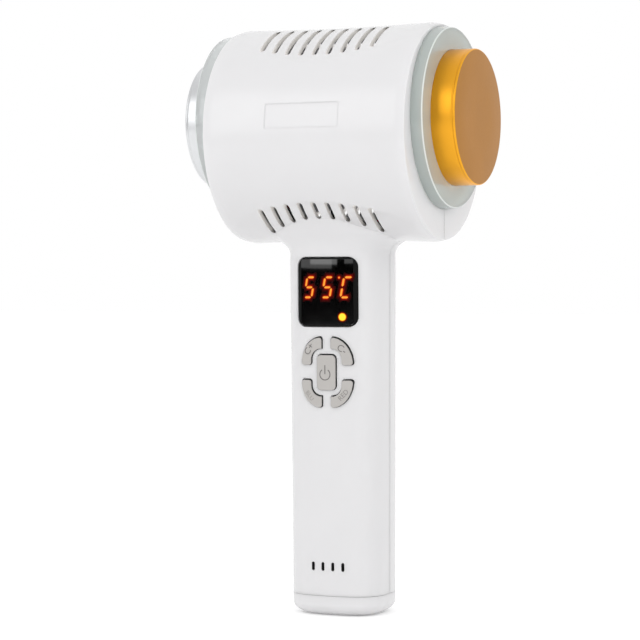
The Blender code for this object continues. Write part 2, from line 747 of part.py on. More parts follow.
def vent_rows(side):
    """Slot cutters for one shell: side is -1 for the front and +1 for the rear."""
    cutters = []
    edge = VENT_PITCH * (VENT_COUNT - 1) / 2
    upper_top = BARREL_RADIUS - UPPER_VENT_DROP
    lower_bottom = LOWER_VENT_RISE - BARREL_RADIUS
    far = BARREL_RADIUS + OVERRUN
    near = BOSS_RADIUS
    front = -far if side < 0 else near
    for index in range(VENT_COUNT):
        bow = (VENT_PITCH * index / edge - 1) ** 2
        x = VENT_PITCH * index - edge + BARREL_SHIFT
        upper = (upper_top - UPPER_VENT_LENGTH + UPPER_VENT_BOW * bow, upper_top)
        lower = (lower_bottom - LOWER_VENT_BOTTOM_BOW * bow,
                 lower_bottom + LOWER_VENT_LENGTH - LOWER_VENT_TOP_BOW * bow)
        for row, (low, high) in enumerate((upper, lower)):
            outline = rounded_rectangle(VENT_WIDTH, high - low, VENT_WIDTH * ROUND_END_SHARE,
                                        BARREL_AXIS_Z + (low + high) / 2, 2, x)
            cutters.append(slab(f"vent_{row}_{index}", outline, front, far - near))
    return cutters


def end_holes():
    """Round openings for the light rings."""
    start = RING_FLANGE_INNER_X - FIT
    length = HOT_END_X + OVERRUN - start
    holes = []
    for sign in (-1, 1):
        base = (sign * start, 0, HEAD_AXIS_Z)
        holes.append(rod(f"end_hole_{sign:+d}", base, (sign, 0, 0), length, RING_HOLE_RADIUS, ROUND))
    return joined("end_holes", holes)


def half_space(name, side):
    """Block that removes the other half of the housing and leaves the parting gap."""
    reach = BARREL_RADIUS * 2
    gap = PARTING_GAP / 2
    low = (-reach, gap * side - (reach if side > 0 else 0), -reach)
    high = (reach, gap * side + (reach if side < 0 else 0), BARREL_AXIS_Z + reach)
    return box(name, low, high)


def quadrant_outline(right, upper, grow=0.0):
    """One of the four keys round the power key, as (x, z) points about the cluster's centre."""
    outer_w = KEYS_HALF_WIDTH + grow
    outer_h = KEYS_HALF_HEIGHT + grow
    inner_w = POWER_KEY_WIDTH / 2 + KEY_BRIDGE - grow
    inner_h = POWER_KEY_HEIGHT / 2 + KEY_BRIDGE - grow
    side = KEY_SIDE_GAP / 2 - grow
    cross = KEY_CROSS_GAP / 2 - grow
    bend = POWER_KEY_CORNER + KEY_BRIDGE - grow
    power = 2 / KEYS_ROUNDNESS
    start = math.asin((cross / outer_h) ** (1 / power))
    end = math.acos((side / outer_w) ** (1 / power))
    points = []
    for i in range(KEY_STEPS + 1):
        t = i / KEY_STEPS
        angle = start + (end - start) * (t + KEY_SPREAD_SHARE * math.sin(2 * math.pi * t))
        points.append((outer_w * math.cos(angle) ** power, outer_h * math.sin(angle) ** power))
    points.append((side, inner_h))
    points += arc_points((inner_w - bend, inner_h - bend), bend, math.pi / 2, -math.pi / 2, 4)
    points.append((inner_w, cross))
    points = softened(points, KEY_CORNER)
    points = [(x if right else -x, z if upper else -z) for x, z in points]
    if right != upper:
        points.reverse()
    return points


def softened(points, corner):
    """The outline with each sharp corner cut back, by at most a share of its shorter side."""
    result = []
    count = len(points)
    for i in range(count):
        before, here, after = (Vector(points[i - 1]), Vector(points[i]), Vector(points[(i + 1) % count]))
        back, ahead = before - here, after - here
        turn = math.pi - back.angle(ahead)
        if turn < SHARP_TURN:
            result.append(tuple(here))
            continue
        size = min(corner, back.length * KEY_CORNER_SHARE, ahead.length * KEY_CORNER_SHARE)
        a, b = here + back.normalized() * size, here + ahead.normalized() * size
        result += [tuple(a), tuple((a + here * 2 + b) / 4), tuple(b)]
    return result


def key_outlines(grow=0.0):
    """Outline of each key by name, about the cluster's centre."""
    power = rounded_rectangle(POWER_KEY_WIDTH + 2 * grow, POWER_KEY_HEIGHT + 2 * grow,
                              POWER_KEY_CORNER + grow, 0.0)
    return {
        "power_key": power,
        "warmer_key": quadrant_outline(False, True, grow),
        "cooler_key": quadrant_outline(True, True, grow),
        "blue_key": quadrant_outline(False, False, grow),
        "red_key": quadrant_outline(True, False, grow),
    }


def key_places():
    """Where each key's switch stands, about the cluster's centre."""
    return {
        "power_key": (0.0, 0.0),
        "warmer_key": (-SWITCH_X, SWITCH_RISE),
        "cooler_key": (SWITCH_X, SWITCH_RISE),
        "blue_key": (-SWITCH_X, -SWITCH_RISE),
        "red_key": (SWITCH_X, -SWITCH_RISE),
    }


def lifted(outline, z):
    return [(x, height + z) for x, height in outline]


def lens_back():
    """Depth of the flat back of the lens, whose front follows the handle."""
    return grip_depth(LENS_WIDTH / 2, LENS_CENTRE_Z) - LENS_THICKNESS


def lens_bed():
    """Thicker wall behind the lens, with a step that the lens rests on."""
    half_width = LENS_WIDTH / 2 + LENS_BED_MARGIN
    half_height = LENS_HEIGHT / 2 + LENS_BED_MARGIN
    back = lens_back() - FIT - LENS_BED_THICKNESS
    return box("lens_bed", (-half_width, -GRIP_HALF_DEPTH, LENS_CENTRE_Z - half_height),
               (half_width, -back, LENS_CENTRE_Z + half_height))


def key_flange_front():
    """Depth of the keys' flanges, clear of the curved wall at the outermost key."""
    return grip_depth(KEYS_HALF_WIDTH + KEY_FLANGE, KEYS_CENTRE_Z, GRIP_WALL) - FIT


def plate_cutter():
    """Shallow recess of even depth on the round barrel."""
    outline = rounded_rectangle(PLATE_WIDTH, PLATE_HEIGHT, PLATE_DEPTH, HEAD_AXIS_Z, 2, BARREL_SHIFT)
    plate = slab("plate_recess", outline, -BARREL_RADIUS - OVERRUN, BARREL_RADIUS / 2)
    floor = rod("plate_floor", (-PLATE_WIDTH, 0, BARREL_AXIS_Z), (1, 0, 0), 2 * PLATE_WIDTH,
                BARREL_RADIUS - PLATE_DEPTH, 2 * ROUND)
    return baked(cut(plate, floor))


def front_cutters():
    """Openings in the front shell: blind ones first, then those that go through."""
    pocket = rounded_rectangle(LENS_WIDTH + 2 * FIT, LENS_HEIGHT + 2 * FIT, LENS_CORNER + FIT,
                               LENS_CENTRE_Z)
    window = rounded_rectangle(LENS_WIDTH - 2 * LENS_LEDGE, LENS_HEIGHT - 2 * LENS_LEDGE,
                               LENS_CORNER, LENS_CENTRE_Z)
    far = -GRIP_HALF_DEPTH - OVERRUN
    floor = FIT - lens_back()
    blind = [slab("lens_pocket", pocket, far, floor - far), plate_cutter()]
    through = [slab("window", window, far, floor - far + 2 * LENS_BED_THICKNESS)]
    for name, outline in key_outlines(KEY_FIT).items():
        through.append(slab(f"{name}_hole", lifted(outline, KEYS_CENTRE_Z), far,
                            -key_flange_front() - far))
    for index in range(SOUND_SLOT_COUNT):
        x = SOUND_SLOT_PITCH * (index - (SOUND_SLOT_COUNT - 1) / 2)
        slot = rounded_rectangle(SOUND_SLOT_WIDTH, SOUND_SLOT_HEIGHT, SOUND_SLOT_WIDTH * ROUND_END_SHARE,
                                 SOUND_SLOT_Z, 2, x)
        through.append(slab(f"sound_slot_{index}", slot, far, -buzzer_front() - far))
    return blind, through


def front_shell(skin, core, holes):
    shell = add_object("front_shell", skin.data.copy(), WHITE)
    cut(shell, core)
    cut(shell, half_space("front_side", -1))
    cut(shell, holes)
    blind, through = front_cutters()
    for item in blind:
        cut(shell, item)
    cut(shell, joined("front_openings", through))
    pilots = []
    for index, (x, z, _) in enumerate(shell_screw_places()):
        depth = SCREW_LENGTH - SCREW_SEAT_Y + FIT
        pilots.append(rod(f"pilot_{index}", (x, -depth, z), (0, 1, 0), depth + OVERRUN,
                          SCREW_SHANK_RADIUS + FIT, TINY_ROUND))
    board_back = CONTROL_BOARD_BACK
    for index, (x, z) in enumerate(board_screw_places()):
        depth = SMALL_SCREW_LENGTH + FIT
        pilots.append(rod(f"board_pilot_{index}", (x, -board_back - depth, z), (0, 1, 0), depth,
                          SMALL_SCREW_RADIUS + FIT, TINY_ROUND))
    cut(shell, joined("front_pilots", pilots))
    cut(shell, joined("front_vents", vent_rows(-1)))
    return shell


def rear_shell(skin, core, holes):
    shell = add_object("rear_shell", skin.data.copy(), WHITE)
    cut(shell, core)
    cut(shell, half_space("rear_side", 1))
    cut(shell, holes)
    wells = []
    shanks = []
    for index, (x, z, depth) in enumerate(shell_screw_places()):
        wells.append(rod(f"screw_well_{index}", (x, SCREW_SEAT_Y, z), (0, 1, 0), depth + OVERRUN,
                         SCREW_HEAD_RADIUS + FIT, SMALL_ROUND))
        shanks.append(rod(f"screw_hole_{index}", (x, -OVERRUN, z), (0, 1, 0),
                          SCREW_SEAT_Y + 2 * OVERRUN, SCREW_SHANK_RADIUS + FIT, TINY_ROUND))
    cut(shell, joined("screw_wells", wells))
    cut(shell, joined("screw_holes", shanks))
    cut(shell, joined("rear_vents", vent_rows(1)))
    return shell


def screw(name, place, direction, radii, lengths, finish=METAL):
    """Pan-head screw: radii and lengths of the head, then of the shank."""
    head, shank = radii
    head_height, shank_length = lengths
    profile = [(0, head_height), (head * SCREW_CROWN_SHARE, head_height), (head, head_height / 2), (head, 0),
               (shank, 0), (shank, -shank_length + shank), (0, -shank_length)]
    return turned(name, profile, place, direction, False, TINY_ROUND, finish)


def shell_screws():
    for index, (x, z, _) in enumerate(shell_screw_places(), 1):
        screw(f"shell_screw_{index}", (x, SCREW_SEAT_Y + FIT, z), (0, 1, 0),
              (SCREW_HEAD_RADIUS, SCREW_SHANK_RADIUS), (SCREW_HEAD_HEIGHT, SCREW_LENGTH))


def base_cap():
    """Foot cap with a rounded edge, a socket well and a spigot that enters the handle."""
    levels = []
    for i in range(CAP_STEPS + 1):
        angle = math.pi / 2 * i / CAP_STEPS
        inset = CAP_EDGE_INSET * (1 - math.sin(angle))
        levels.append((CAP_EDGE_HEIGHT * (1 - math.cos(angle)), inset))
    levels.append((CAP_TOP_Z, 0.0))
    sections = [[(x, y, z) for x, y, _ in grip_section(GRIP_FOOT_Z, inset)] for z, inset in levels]
    cap = loft("base_cap", sections, WHITE)
    foot = grip_section(GRIP_FOOT_Z, GRIP_WALL + FIT, 7)
    spigot = [[(x, y, z) for x, y, _ in foot]
              for z in (CAP_TOP_Z - CAP_WALL, CAP_TOP_Z + CAP_SPIGOT_HEIGHT)]
    hollow = grip_section(GRIP_FOOT_Z, GRIP_WALL + FIT + CAP_SPIGOT_WALL, 7)
    pocket = [[(x, y, z) for x, y, _ in hollow]
              for z in (CAP_WALL, CAP_TOP_Z + CAP_SPIGOT_HEIGHT + OVERRUN)]
    add(cap, loft("cap_spigot", spigot))
    cut(cap, loft("cap_pocket", pocket))
    add(cap, rod("well_wall", (0, 0, CAP_WALL / 2), (0, 0, 1), SOCKET_WELL_DEPTH - CAP_WALL / 2,
                 SOCKET_WELL_RADIUS + SOCKET_WELL_WALL))
    cut(cap, rod("well", (0, 0, -OVERRUN), (0, 0, 1), SOCKET_WELL_DEPTH + 2 * OVERRUN,
                 SOCKET_WELL_RADIUS))
    return cap


def dc_jack():
    low = (-JACK_WIDTH / 2, -JACK_DEPTH / 2, JACK_BOTTOM_Z)
    high = (JACK_WIDTH / 2, JACK_DEPTH / 2, JACK_TOP_Z)
    body = box("dc_jack", low, high, DARK)
    cut(body, rod("jack_bore", (0, 0, JACK_BOTTOM_Z - OVERRUN), (0, 0, 1), OVERRUN + JACK_BORE_DEPTH,
                  JACK_BORE_RADIUS))
    pin_length = JACK_BORE_DEPTH - 2 * FIT
    rod("jack_pin", (0, 0, JACK_BOTTOM_Z + FIT), (0, 0, 1), pin_length, JACK_PIN_RADIUS,
        TINY_ROUND, METAL)


def head_profile(radius, face_thickness):
    """Outer side of a head, from the middle of its face to its sleeve's end."""
    return [(0, HEAD_FACE_X), (radius - HEAD_EDGE, HEAD_FACE_X),
            (radius - HEAD_EDGE * EDGE_SHARE, HEAD_FACE_X - HEAD_EDGE * EDGE_SHARE),
            (radius, HEAD_FACE_X - HEAD_EDGE), (radius, HEAD_FLANGE_OUTER_X),
            (HEAD_FLANGE_RADIUS, HEAD_FLANGE_OUTER_X), (HEAD_FLANGE_RADIUS, HEAD_FLANGE_INNER_X),
            (radius - HEAD_WALL, HEAD_FLANGE_INNER_X), (radius - HEAD_WALL, HEAD_FACE_X - face_thickness)]


def hot_head():
    profile = head_profile(HEAD_RADIUS, HOT_FACE_THICKNESS) + [(0, HEAD_FACE_X - HOT_FACE_THICKNESS)]
    return turned("hot_head", profile, (0, 0, HEAD_AXIS_Z), (1, 0, 0), False, ROUND, GOLD)


def cold_head():
    """A little smaller than the hot head, with a core that reaches the cooling module."""
    back = HEAD_FACE_X - COLD_FACE_THICKNESS
    foot = PELTIER_OUTER_X + FIT
    profile = head_profile(COLD_HEAD_RADIUS, COLD_FACE_THICKNESS)
    profile += [(COLD_CORE_RADIUS, back), (COLD_CORE_RADIUS, foot + COLD_FOOT_THICKNESS),
                (COLD_FOOT_RADIUS, foot + COLD_FOOT_THICKNESS), (COLD_FOOT_RADIUS, foot), (0, foot)]
    return turned("cold_head", profile, (0, 0, HEAD_AXIS_Z), (-1, 0, 0), False, ROUND, SILVER)


def light_ring(name, sign, head_radius):
    """Clear ring: a turned cap with an eccentric flange behind the housing's end wall."""
    bore_radius = head_radius + FIT
    inside = RING_RADIUS - RING_WALL
    root = RING_FLANGE_OUTER_X - RING_FLANGE_THICKNESS / 2
    profile = [(bore_radius, RING_FACE_X), (RING_RADIUS - RING_DRAFT - RING_EDGE, RING_FACE_X),
               (RING_RADIUS - RING_DRAFT - RING_EDGE * EDGE_SHARE, RING_FACE_X - RING_EDGE * EDGE_SHARE),
               (RING_RADIUS - RING_DRAFT, RING_FACE_X - RING_EDGE), (RING_RADIUS, root),
               (inside, root), (inside, RING_FACE_X - RING_WALL),
               (bore_radius, RING_FACE_X - RING_WALL)]
    ring = turned(name, profile, (0, 0, HEAD_AXIS_Z), (sign, 0, 0), True, ROUND, CLEAR)
    flange = rod(f"{name}_flange", (sign * RING_FLANGE_INNER_X, 0, BARREL_AXIS_Z), (sign, 0, 0),
                 RING_FLANGE_THICKNESS, CARRIER_RADIUS, ROUND)
    bore = rod(f"{name}_bore", (sign * (RING_FLANGE_INNER_X - OVERRUN), 0, HEAD_AXIS_Z), (sign, 0, 0),
               RING_FACE_X - RING_WALL - RING_FLANGE_INNER_X, inside - FIT / 2, ROUND)
    add(ring, baked(cut(flange, bore)))
    return ring


def carrier(name, sign):
    """Plate across the barrel with a ring that backs the head and a seat for the light board."""
    plate = rod(name, (sign * CARRIER_INNER_X, 0, BARREL_AXIS_Z), (sign, 0, 0), CARRIER_THICKNESS,
                CARRIER_RADIUS, ROUND, CREAM)
    root = CARRIER_OUTER_X - CARRIER_THICKNESS / 2
    seat = LIGHT_BOARD_INNER_RADIUS + BOARD_SEAT_WIDTH
    profile = [(SUPPORT_INNER_RADIUS, SUPPORT_TOP_X), (SUPPORT_OUTER_RADIUS, SUPPORT_TOP_X),
               (SUPPORT_OUTER_RADIUS, BOARD_SEAT_X), (seat, BOARD_SEAT_X), (seat, root),
               (SUPPORT_INNER_RADIUS, root)]
    add(plate, turned(f"{name}_support", profile, (0, 0, HEAD_AXIS_Z), (sign, 0, 0), True))
    notch_z = HEAD_AXIS_Z - (LIGHT_BOARD_INNER_RADIUS + LIGHT_BOARD_OUTER_RADIUS) / 2
    cut(plate, rod(f"{name}_lead_hole", (sign * (CARRIER_INNER_X - OVERRUN), 0, notch_z), (sign, 0, 0),
                   CARRIER_THICKNESS + BOARD_SEAT_HEIGHT + OVERRUN + FIT / 2, LEAD_NOTCH, TINY_ROUND))
    return plate


def hot_mount():
    plate = carrier("hot_mount", 1)
    root = CARRIER_OUTER_X - CARRIER_THICKNESS / 2
    tip = HEAD_FACE_X - HOT_FACE_THICKNESS - HEATER_THICKNESS - PAD_THICKNESS - 3 * FIT
    wall = CARRIER_BORE_RADIUS + CARRIER_TUBE_WALL
    profile = [(CARRIER_BORE_RADIUS, tip), (wall, tip), (wall, root), (CARRIER_BORE_RADIUS, root)]
    add(plate, turned("pad_tube", profile, (0, 0, HEAD_AXIS_Z), (1, 0, 0), True, SMALL_ROUND))
    cut(plate, rod("lead_bore", (CARRIER_INNER_X - OVERRUN, 0, HEAD_AXIS_Z), (1, 0, 0),
                   CARRIER_THICKNESS + 2 * OVERRUN, CARRIER_BORE_RADIUS - FIT))
    return plate


def cold_mount():
    plate = carrier("cold_mount", -1)
    half = PELTIER_SIZE / 2 + FIT
    low = (-CARRIER_OUTER_X - OVERRUN / 4, -half, HEAD_AXIS_Z - half)
    high = (-CARRIER_INNER_X + OVERRUN / 4, half, HEAD_AXIS_Z + half)
    cut(plate, box("peltier_window", low, high))
    notch_low = (low[0], -LEAD_NOTCH, HEAD_AXIS_Z - SINK_SIZE / 2 - 2 * LEAD_NOTCH)
    notch_high = (high[0], LEAD_NOTCH, HEAD_AXIS_Z - half + LEAD_NOTCH)
    cut(plate, box("peltier_lead_notch", notch_low, notch_high))
    return plate


def light_board(name, sign):
    """Ring board with its lamps round it."""
    board = turned(name, [(LIGHT_BOARD_INNER_RADIUS, LIGHT_BOARD_X + LIGHT_BOARD_THICKNESS),
                          (LIGHT_BOARD_OUTER_RADIUS, LIGHT_BOARD_X + LIGHT_BOARD_THICKNESS),
                          (LIGHT_BOARD_OUTER_RADIUS, LIGHT_BOARD_X),
                          (LIGHT_BOARD_INNER_RADIUS, LIGHT_BOARD_X)],
                   (0, 0, HEAD_AXIS_Z), (sign, 0, 0), True, 24, GREEN)
    middle = (LIGHT_BOARD_INNER_RADIUS + LIGHT_BOARD_OUTER_RADIUS) / 2
    half = LIGHT_SIZE / 2
    lamps = []
    for index in range(LIGHT_COUNT):
        angle = 2 * math.pi * (index + 0.5) / LIGHT_COUNT
        lamp = box(f"{name}_lamp_{index}", (LIGHT_BOARD_X + LIGHT_BOARD_THICKNESS / 2, -half, -half),
                   (LIGHT_BOARD_X + LIGHT_BOARD_THICKNESS + LIGHT_HEIGHT, half, half))
        lamp.data.transform(Matrix.Translation((0, 0, middle)))
        lamp.data.transform(Matrix.Rotation(angle, 4, 'X'))
        lamp.data.transform(Matrix.Rotation(math.pi if sign < 0 else 0, 4, 'Z'))
        lamp.data.transform(Matrix.Translation((0, 0, HEAD_AXIS_Z)))
        lamps.append(lamp)
    add(board, joined(f"{name}_lamps", lamps))
    return board


def hot_parts():
    """Film heater, its insulating pad and the sensor in the pad's middle."""
    radius = HEAD_SLEEVE_RADIUS - HEATER_MARGIN
    heater_back = HEAD_FACE_X - HOT_FACE_THICKNESS - FIT - HEATER_THICKNESS
    rod("film_heater", (heater_back, 0, HEAD_AXIS_Z), (1, 0, 0), HEATER_THICKNESS, radius, ROUND, COPPER)
    pad_back = heater_back - FIT - PAD_THICKNESS
    pad = rod("heater_pad", (pad_back, 0, HEAD_AXIS_Z), (1, 0, 0), PAD_THICKNESS, radius, ROUND, FOAM)
    cut(pad, rod("sensor_hole", (pad_back - OVERRUN, 0, HEAD_AXIS_Z), (1, 0, 0),
                 PAD_THICKNESS + 2 * OVERRUN, SENSOR_RADIUS + FIT, TINY_ROUND))
    rod("hot_sensor", (heater_back - FIT - SENSOR_LENGTH, 0, HEAD_AXIS_Z), (1, 0, 0), SENSOR_LENGTH,
        SENSOR_RADIUS, TINY_ROUND, DARK)


def cold_parts():
    """Cooling module in the carrier's window, with a foam ring round the head's core."""
    half = PELTIER_SIZE / 2
    box("peltier_module", (-PELTIER_OUTER_X, -half, HEAD_AXIS_Z - half),
        (-PELTIER_INNER_X, half, HEAD_AXIS_Z + half), CREAM)
    outer = SUPPORT_INNER_RADIUS - FIT
    inner = COLD_FOOT_RADIUS + FIT
    top = SUPPORT_TOP_X - HEAD_FLANGE_THICKNESS
    bottom = PELTIER_OUTER_X + FIT
    turned("cold_gasket", [(inner, top), (outer, top), (outer, bottom), (inner, bottom)],
           (0, 0, HEAD_AXIS_Z), (-1, 0, 0), True, ROUND, FOAM)
    seat = PELTIER_OUTER_X + FIT + COLD_FOOT_THICKNESS
    rod("cold_sensor", (-seat - FIT, COLD_CORE_RADIUS + FIT + SENSOR_RADIUS, HEAD_AXIS_Z), (-1, 0, 0),
        SENSOR_LENGTH, SENSOR_RADIUS, TINY_ROUND, DARK)


def heat_sink():
    """Comb of fins that stand upright, so the fan's air leaves above and below."""
    pitch = (SINK_SIZE - SINK_FIN_THICKNESS) / (SINK_FIN_COUNT - 1)
    half = SINK_SIZE / 2
    base, root, tip = -SINK_OUTER_X, -SINK_FIN_X, -SINK_INNER_X
    outline = [(base, half), (base, -half)]
    for index in range(SINK_FIN_COUNT):
        low = -half + pitch * index
        high = low + SINK_FIN_THICKNESS
        outline += [(tip, low), (tip, high)]
        if index < SINK_FIN_COUNT - 1:
            outline += [(root, high), (root, low + pitch)]
    sink = slab("heat_sink", outline, 0, SINK_SIZE, METAL)
    turn = Matrix.Rotation(-math.pi / 2, 4, 'X')
    centre = Matrix.Translation((0, -SINK_SIZE / 2, 0))
    sink.data.transform(Matrix.Translation((0, 0, HEAD_AXIS_Z)) @ turn @ centre)
    return sink


def fan_screw_places():
    half = FAN_HOLE_SPACING / 2
    return [(half, HEAD_AXIS_Z + half), (-half, HEAD_AXIS_Z - half)]


def fan_frame():
    """Square frame with a round bore and a hub on struts, open towards the fins."""
    half = FAN_SIZE / 2
    start, end = -FAN_OUTER_X, -FAN_INNER_X
    frame = box("fan_frame", (start, -half, HEAD_AXIS_Z - half), (end, half, HEAD_AXIS_Z + half), DARK)
    cut(frame, rod("fan_bore", (start - OVERRUN, 0, HEAD_AXIS_Z), (1, 0, 0), FAN_DEPTH + 2 * OVERRUN,
                   FAN_BORE_RADIUS, 32))
    holes = [rod(f"fan_hole_{i}", (start - OVERRUN, y, z), (1, 0, 0), FAN_DEPTH + 2 * OVERRUN,
                 SCREW_SHANK_RADIUS + FIT, TINY_ROUND) for i, (y, z) in enumerate(fan_screw_places())]
    cut(frame, joined("fan_holes", holes))
    hub = rod("fan_hub", (end - FAN_HUB_WALL, 0, HEAD_AXIS_Z), (1, 0, 0), FAN_HUB_WALL - FIT / 3,
              FAN_HUB_RADIUS, SMALL_ROUND)
    for index in range(FAN_STRUT_COUNT):
        strut = box(f"fan_strut_{index}", (end - FAN_HUB_WALL + FIT / 3, -FAN_STRUT_WIDTH / 2, 0),
                    (end - FIT, FAN_STRUT_WIDTH / 2, FAN_BORE_RADIUS + FIT))
        angle = 2 * math.pi * index / FAN_STRUT_COUNT
        strut.data.transform(Matrix.Rotation(angle, 4, 'X'))
        strut.data.transform(Matrix.Translation((0, 0, HEAD_AXIS_Z)))
        add(hub, strut)
    axle = FAN_DEPTH / 2
    add(hub, rod("fan_axle", (end - FAN_HUB_WALL / 2 - axle, 0, HEAD_AXIS_Z), (1, 0, 0), axle,
                 FAN_AXLE_RADIUS, TINY_ROUND))
    add(frame, hub)
    return frame


def fan_rotor():
    """Hub with pitched blades, turning on the frame's axle."""
    start = -FAN_OUTER_X + 2 * FIT
    end = -FAN_INNER_X - FAN_HUB_WALL - FIT
    rotor = rod("fan_rotor", (start, 0, HEAD_AXIS_Z), (1, 0, 0), end - start, FAN_HUB_RADIUS,
                SMALL_ROUND, DARK)
    middle = (start + end) / 2
    inner = FAN_HUB_RADIUS * FAN_BLADE_ROOT_SHARE
    outer = FAN_BORE_RADIUS - 2 * FIT
    half_chord = FAN_BLADE_CHORD / 2
    half_thick = FAN_BLADE_THICKNESS / 2
    for index in range(FAN_BLADE_COUNT):
        blade = box(f"fan_blade_{index}", (-half_thick, -half_chord, inner), (half_thick, half_chord, outer))
        blade.data.transform(Matrix.Rotation(FAN_BLADE_PITCH, 4, 'Z'))
        blade.data.transform(Matrix.Rotation(2 * math.pi * index / FAN_BLADE_COUNT, 4, 'X'))
        blade.data.transform(Matrix.Translation((middle, 0, HEAD_AXIS_Z)))
        add(rotor, blade)
    cut(rotor, rod("axle_hole", (end - FAN_DEPTH / 2, 0, HEAD_AXIS_Z), (1, 0, 0), FAN_DEPTH,
                   FAN_AXLE_RADIUS + FIT, TINY_ROUND))
    baked(rotor)
    hub = Vector((0, 0, HEAD_AXIS_Z))
    rotor.data.transform(Matrix.Translation(-hub))
    rotor.location = hub
    return rotor


def fan_screws():
    for index, (y, z) in enumerate(fan_screw_places(), 1):
        screw(f"fan_screw_{index}", (-FAN_INNER_X + FIT, y, z), (1, 0, 0),
              (SCREW_HEAD_RADIUS, SCREW_SHANK_RADIUS), (SCREW_HEAD_HEIGHT, FAN_DEPTH + SCREW_LENGTH / 3))


def grip_blank(name, z, inset):
    """Length of the handle round a height, for what follows its surface."""
    reach = LENS_HEIGHT
    levels = (z - reach, z + reach)
    return loft(name, [[(x, y, level) for x, y, _ in grip_section(min(level, GRIP_TOP_Z), inset, 9)]
                       for level in levels])


def display():
    """Lens in its pocket, the digit block behind it and the status lamp."""
    outline = rounded_rectangle(LENS_WIDTH, LENS_HEIGHT, LENS_CORNER, LENS_CENTRE_Z)
    far = -GRIP_HALF_DEPTH - OVERRUN
    lens = slab("display_lens", outline, far, -lens_back() - far, BLACK)
    combine(lens, grip_blank("lens_face", LENS_CENTRE_Z, 0.0), 'INTERSECT')
    board_front = -CONTROL_BOARD_BACK - CONTROL_BOARD_THICKNESS - FIT
    front = 2 * FIT - lens_back()
    centre = LENS_CENTRE_Z + MODULE_RISE
    box("display_module", (-MODULE_WIDTH / 2, front, centre - MODULE_HEIGHT / 2),
        (MODULE_WIDTH / 2, board_front, centre + MODULE_HEIGHT / 2), DARK)
    lamp_z = LENS_CENTRE_Z - LENS_HEIGHT / 2 + STATUS_INSET
    rod("status_led", (STATUS_X, front, lamp_z), (0, 1, 0), board_front - front, STATUS_RADIUS,
        TINY_ROUND, LAMP)


def control_board():
    back = -CONTROL_BOARD_BACK
    front = back - CONTROL_BOARD_THICKNESS
    half = CONTROL_BOARD_WIDTH / 2
    board = box("control_board", (-half, front, CONTROL_BOARD_BOTTOM), (half, back, CONTROL_BOARD_TOP),
                GREEN)
    holes = [rod(f"board_hole_{i}", (x, front - OVERRUN, z), (0, 1, 0), 2 * OVERRUN
                 + CONTROL_BOARD_THICKNESS, SMALL_SCREW_RADIUS + FIT, TINY_ROUND)
             for i, (x, z) in enumerate(board_screw_places())]
    cut(board, joined("board_holes", holes))
    for index, (x, z) in enumerate(board_screw_places(), 1):
        screw(f"board_screw_{index}", (x, back + FIT, z), (0, 1, 0),
              (SMALL_SCREW_HEAD_RADIUS, SMALL_SCREW_RADIUS),
              (SMALL_SCREW_HEAD_HEIGHT, SMALL_SCREW_LENGTH))
    return board


def keys():
    """Each key with its plunger, and the switch housing under it on the board."""
    far = -GRIP_HALF_DEPTH - OVERRUN
    flange_front = -key_flange_front()
    flange_back = flange_front + KEY_FLANGE_THICKNESS
    surface = grip_blank("key_face", KEYS_CENTRE_Z, -KEY_PROUD)
    board_front = -CONTROL_BOARD_BACK - CONTROL_BOARD_THICKNESS
    switch_back = board_front - FIT
    switch_front = switch_back - SWITCH_HEIGHT
    hole_floor = switch_front + SWITCH_HOLE_DEPTH
    plunger_tip = hole_floor - KEY_TRAVEL - FIT
    flanges = key_outlines(KEY_FLANGE)
    places = key_places()
    for name, outline in key_outlines().items():
        cap = slab(name, lifted(outline, KEYS_CENTRE_Z), far, flange_back - far, GREY)
        combine(cap, surface, 'INTERSECT')
        add(cap, slab(f"{name}_flange", lifted(flanges[name], KEYS_CENTRE_Z), flange_front,
                      KEY_FLANGE_THICKNESS / 2))
        x, rise = places[name]
        z = KEYS_CENTRE_Z + rise
        short = name.replace("_key", "")
        rod(f"{short}_plunger", (x, flange_back + FIT, z), (0, 1, 0), plunger_tip - flange_back - FIT,
            PLUNGER_RADIUS, TINY_ROUND, DARK)
        half = SWITCH_SIZE / 2
        housing = box(f"{short}_switch", (x - half, switch_front, z - half),
                      (x + half, switch_back, z + half), METAL)
        cut(housing, rod(f"{short}_switch_hole", (x, switch_front - OVERRUN, z), (0, 1, 0),
                         OVERRUN + SWITCH_HOLE_DEPTH, PLUNGER_RADIUS + FIT, TINY_ROUND))


def lower_electronics():
    """Driver board with its choke, and the buzzer behind the sound slots."""
    half = DRIVER_BOARD_WIDTH / 2
    front, back = DRIVER_BOARD_Y, DRIVER_BOARD_Y + DRIVER_BOARD_THICKNESS
    board = box("driver_board", (-half, front, DRIVER_BOARD_BOTTOM), (half, back, DRIVER_BOARD_TOP),
                GREEN)
    chips = []
    for index, (share_x, share_z) in enumerate(CHIP_PLACE_SHARES):
        x = half * share_x
        z = DRIVER_BOARD_BOTTOM + (DRIVER_BOARD_TOP - DRIVER_BOARD_BOTTOM) * share_z
        size = CHOKE_HEIGHT / 2
        chips.append(box(f"chip_{index}", (x - size, front - size, z - size / 2),
                         (x + size, front + DRIVER_BOARD_THICKNESS / 2, z + size / 2)))
    add(board, joined("chips", chips))
    middle = (DRIVER_BOARD_BOTTOM + DRIVER_BOARD_TOP) / 2
    rod("choke_coil", (-half + CHOKE_RADIUS + FIT, front - FIT - CHOKE_HEIGHT, middle), (0, 1, 0),
        CHOKE_HEIGHT, CHOKE_RADIUS, SMALL_ROUND, DARK)
    rod("buzzer", (0, -buzzer_front(), SOUND_SLOT_Z), (0, 1, 0), BUZZER_THICKNESS, BUZZER_RADIUS,
        SMALL_ROUND, DARK)


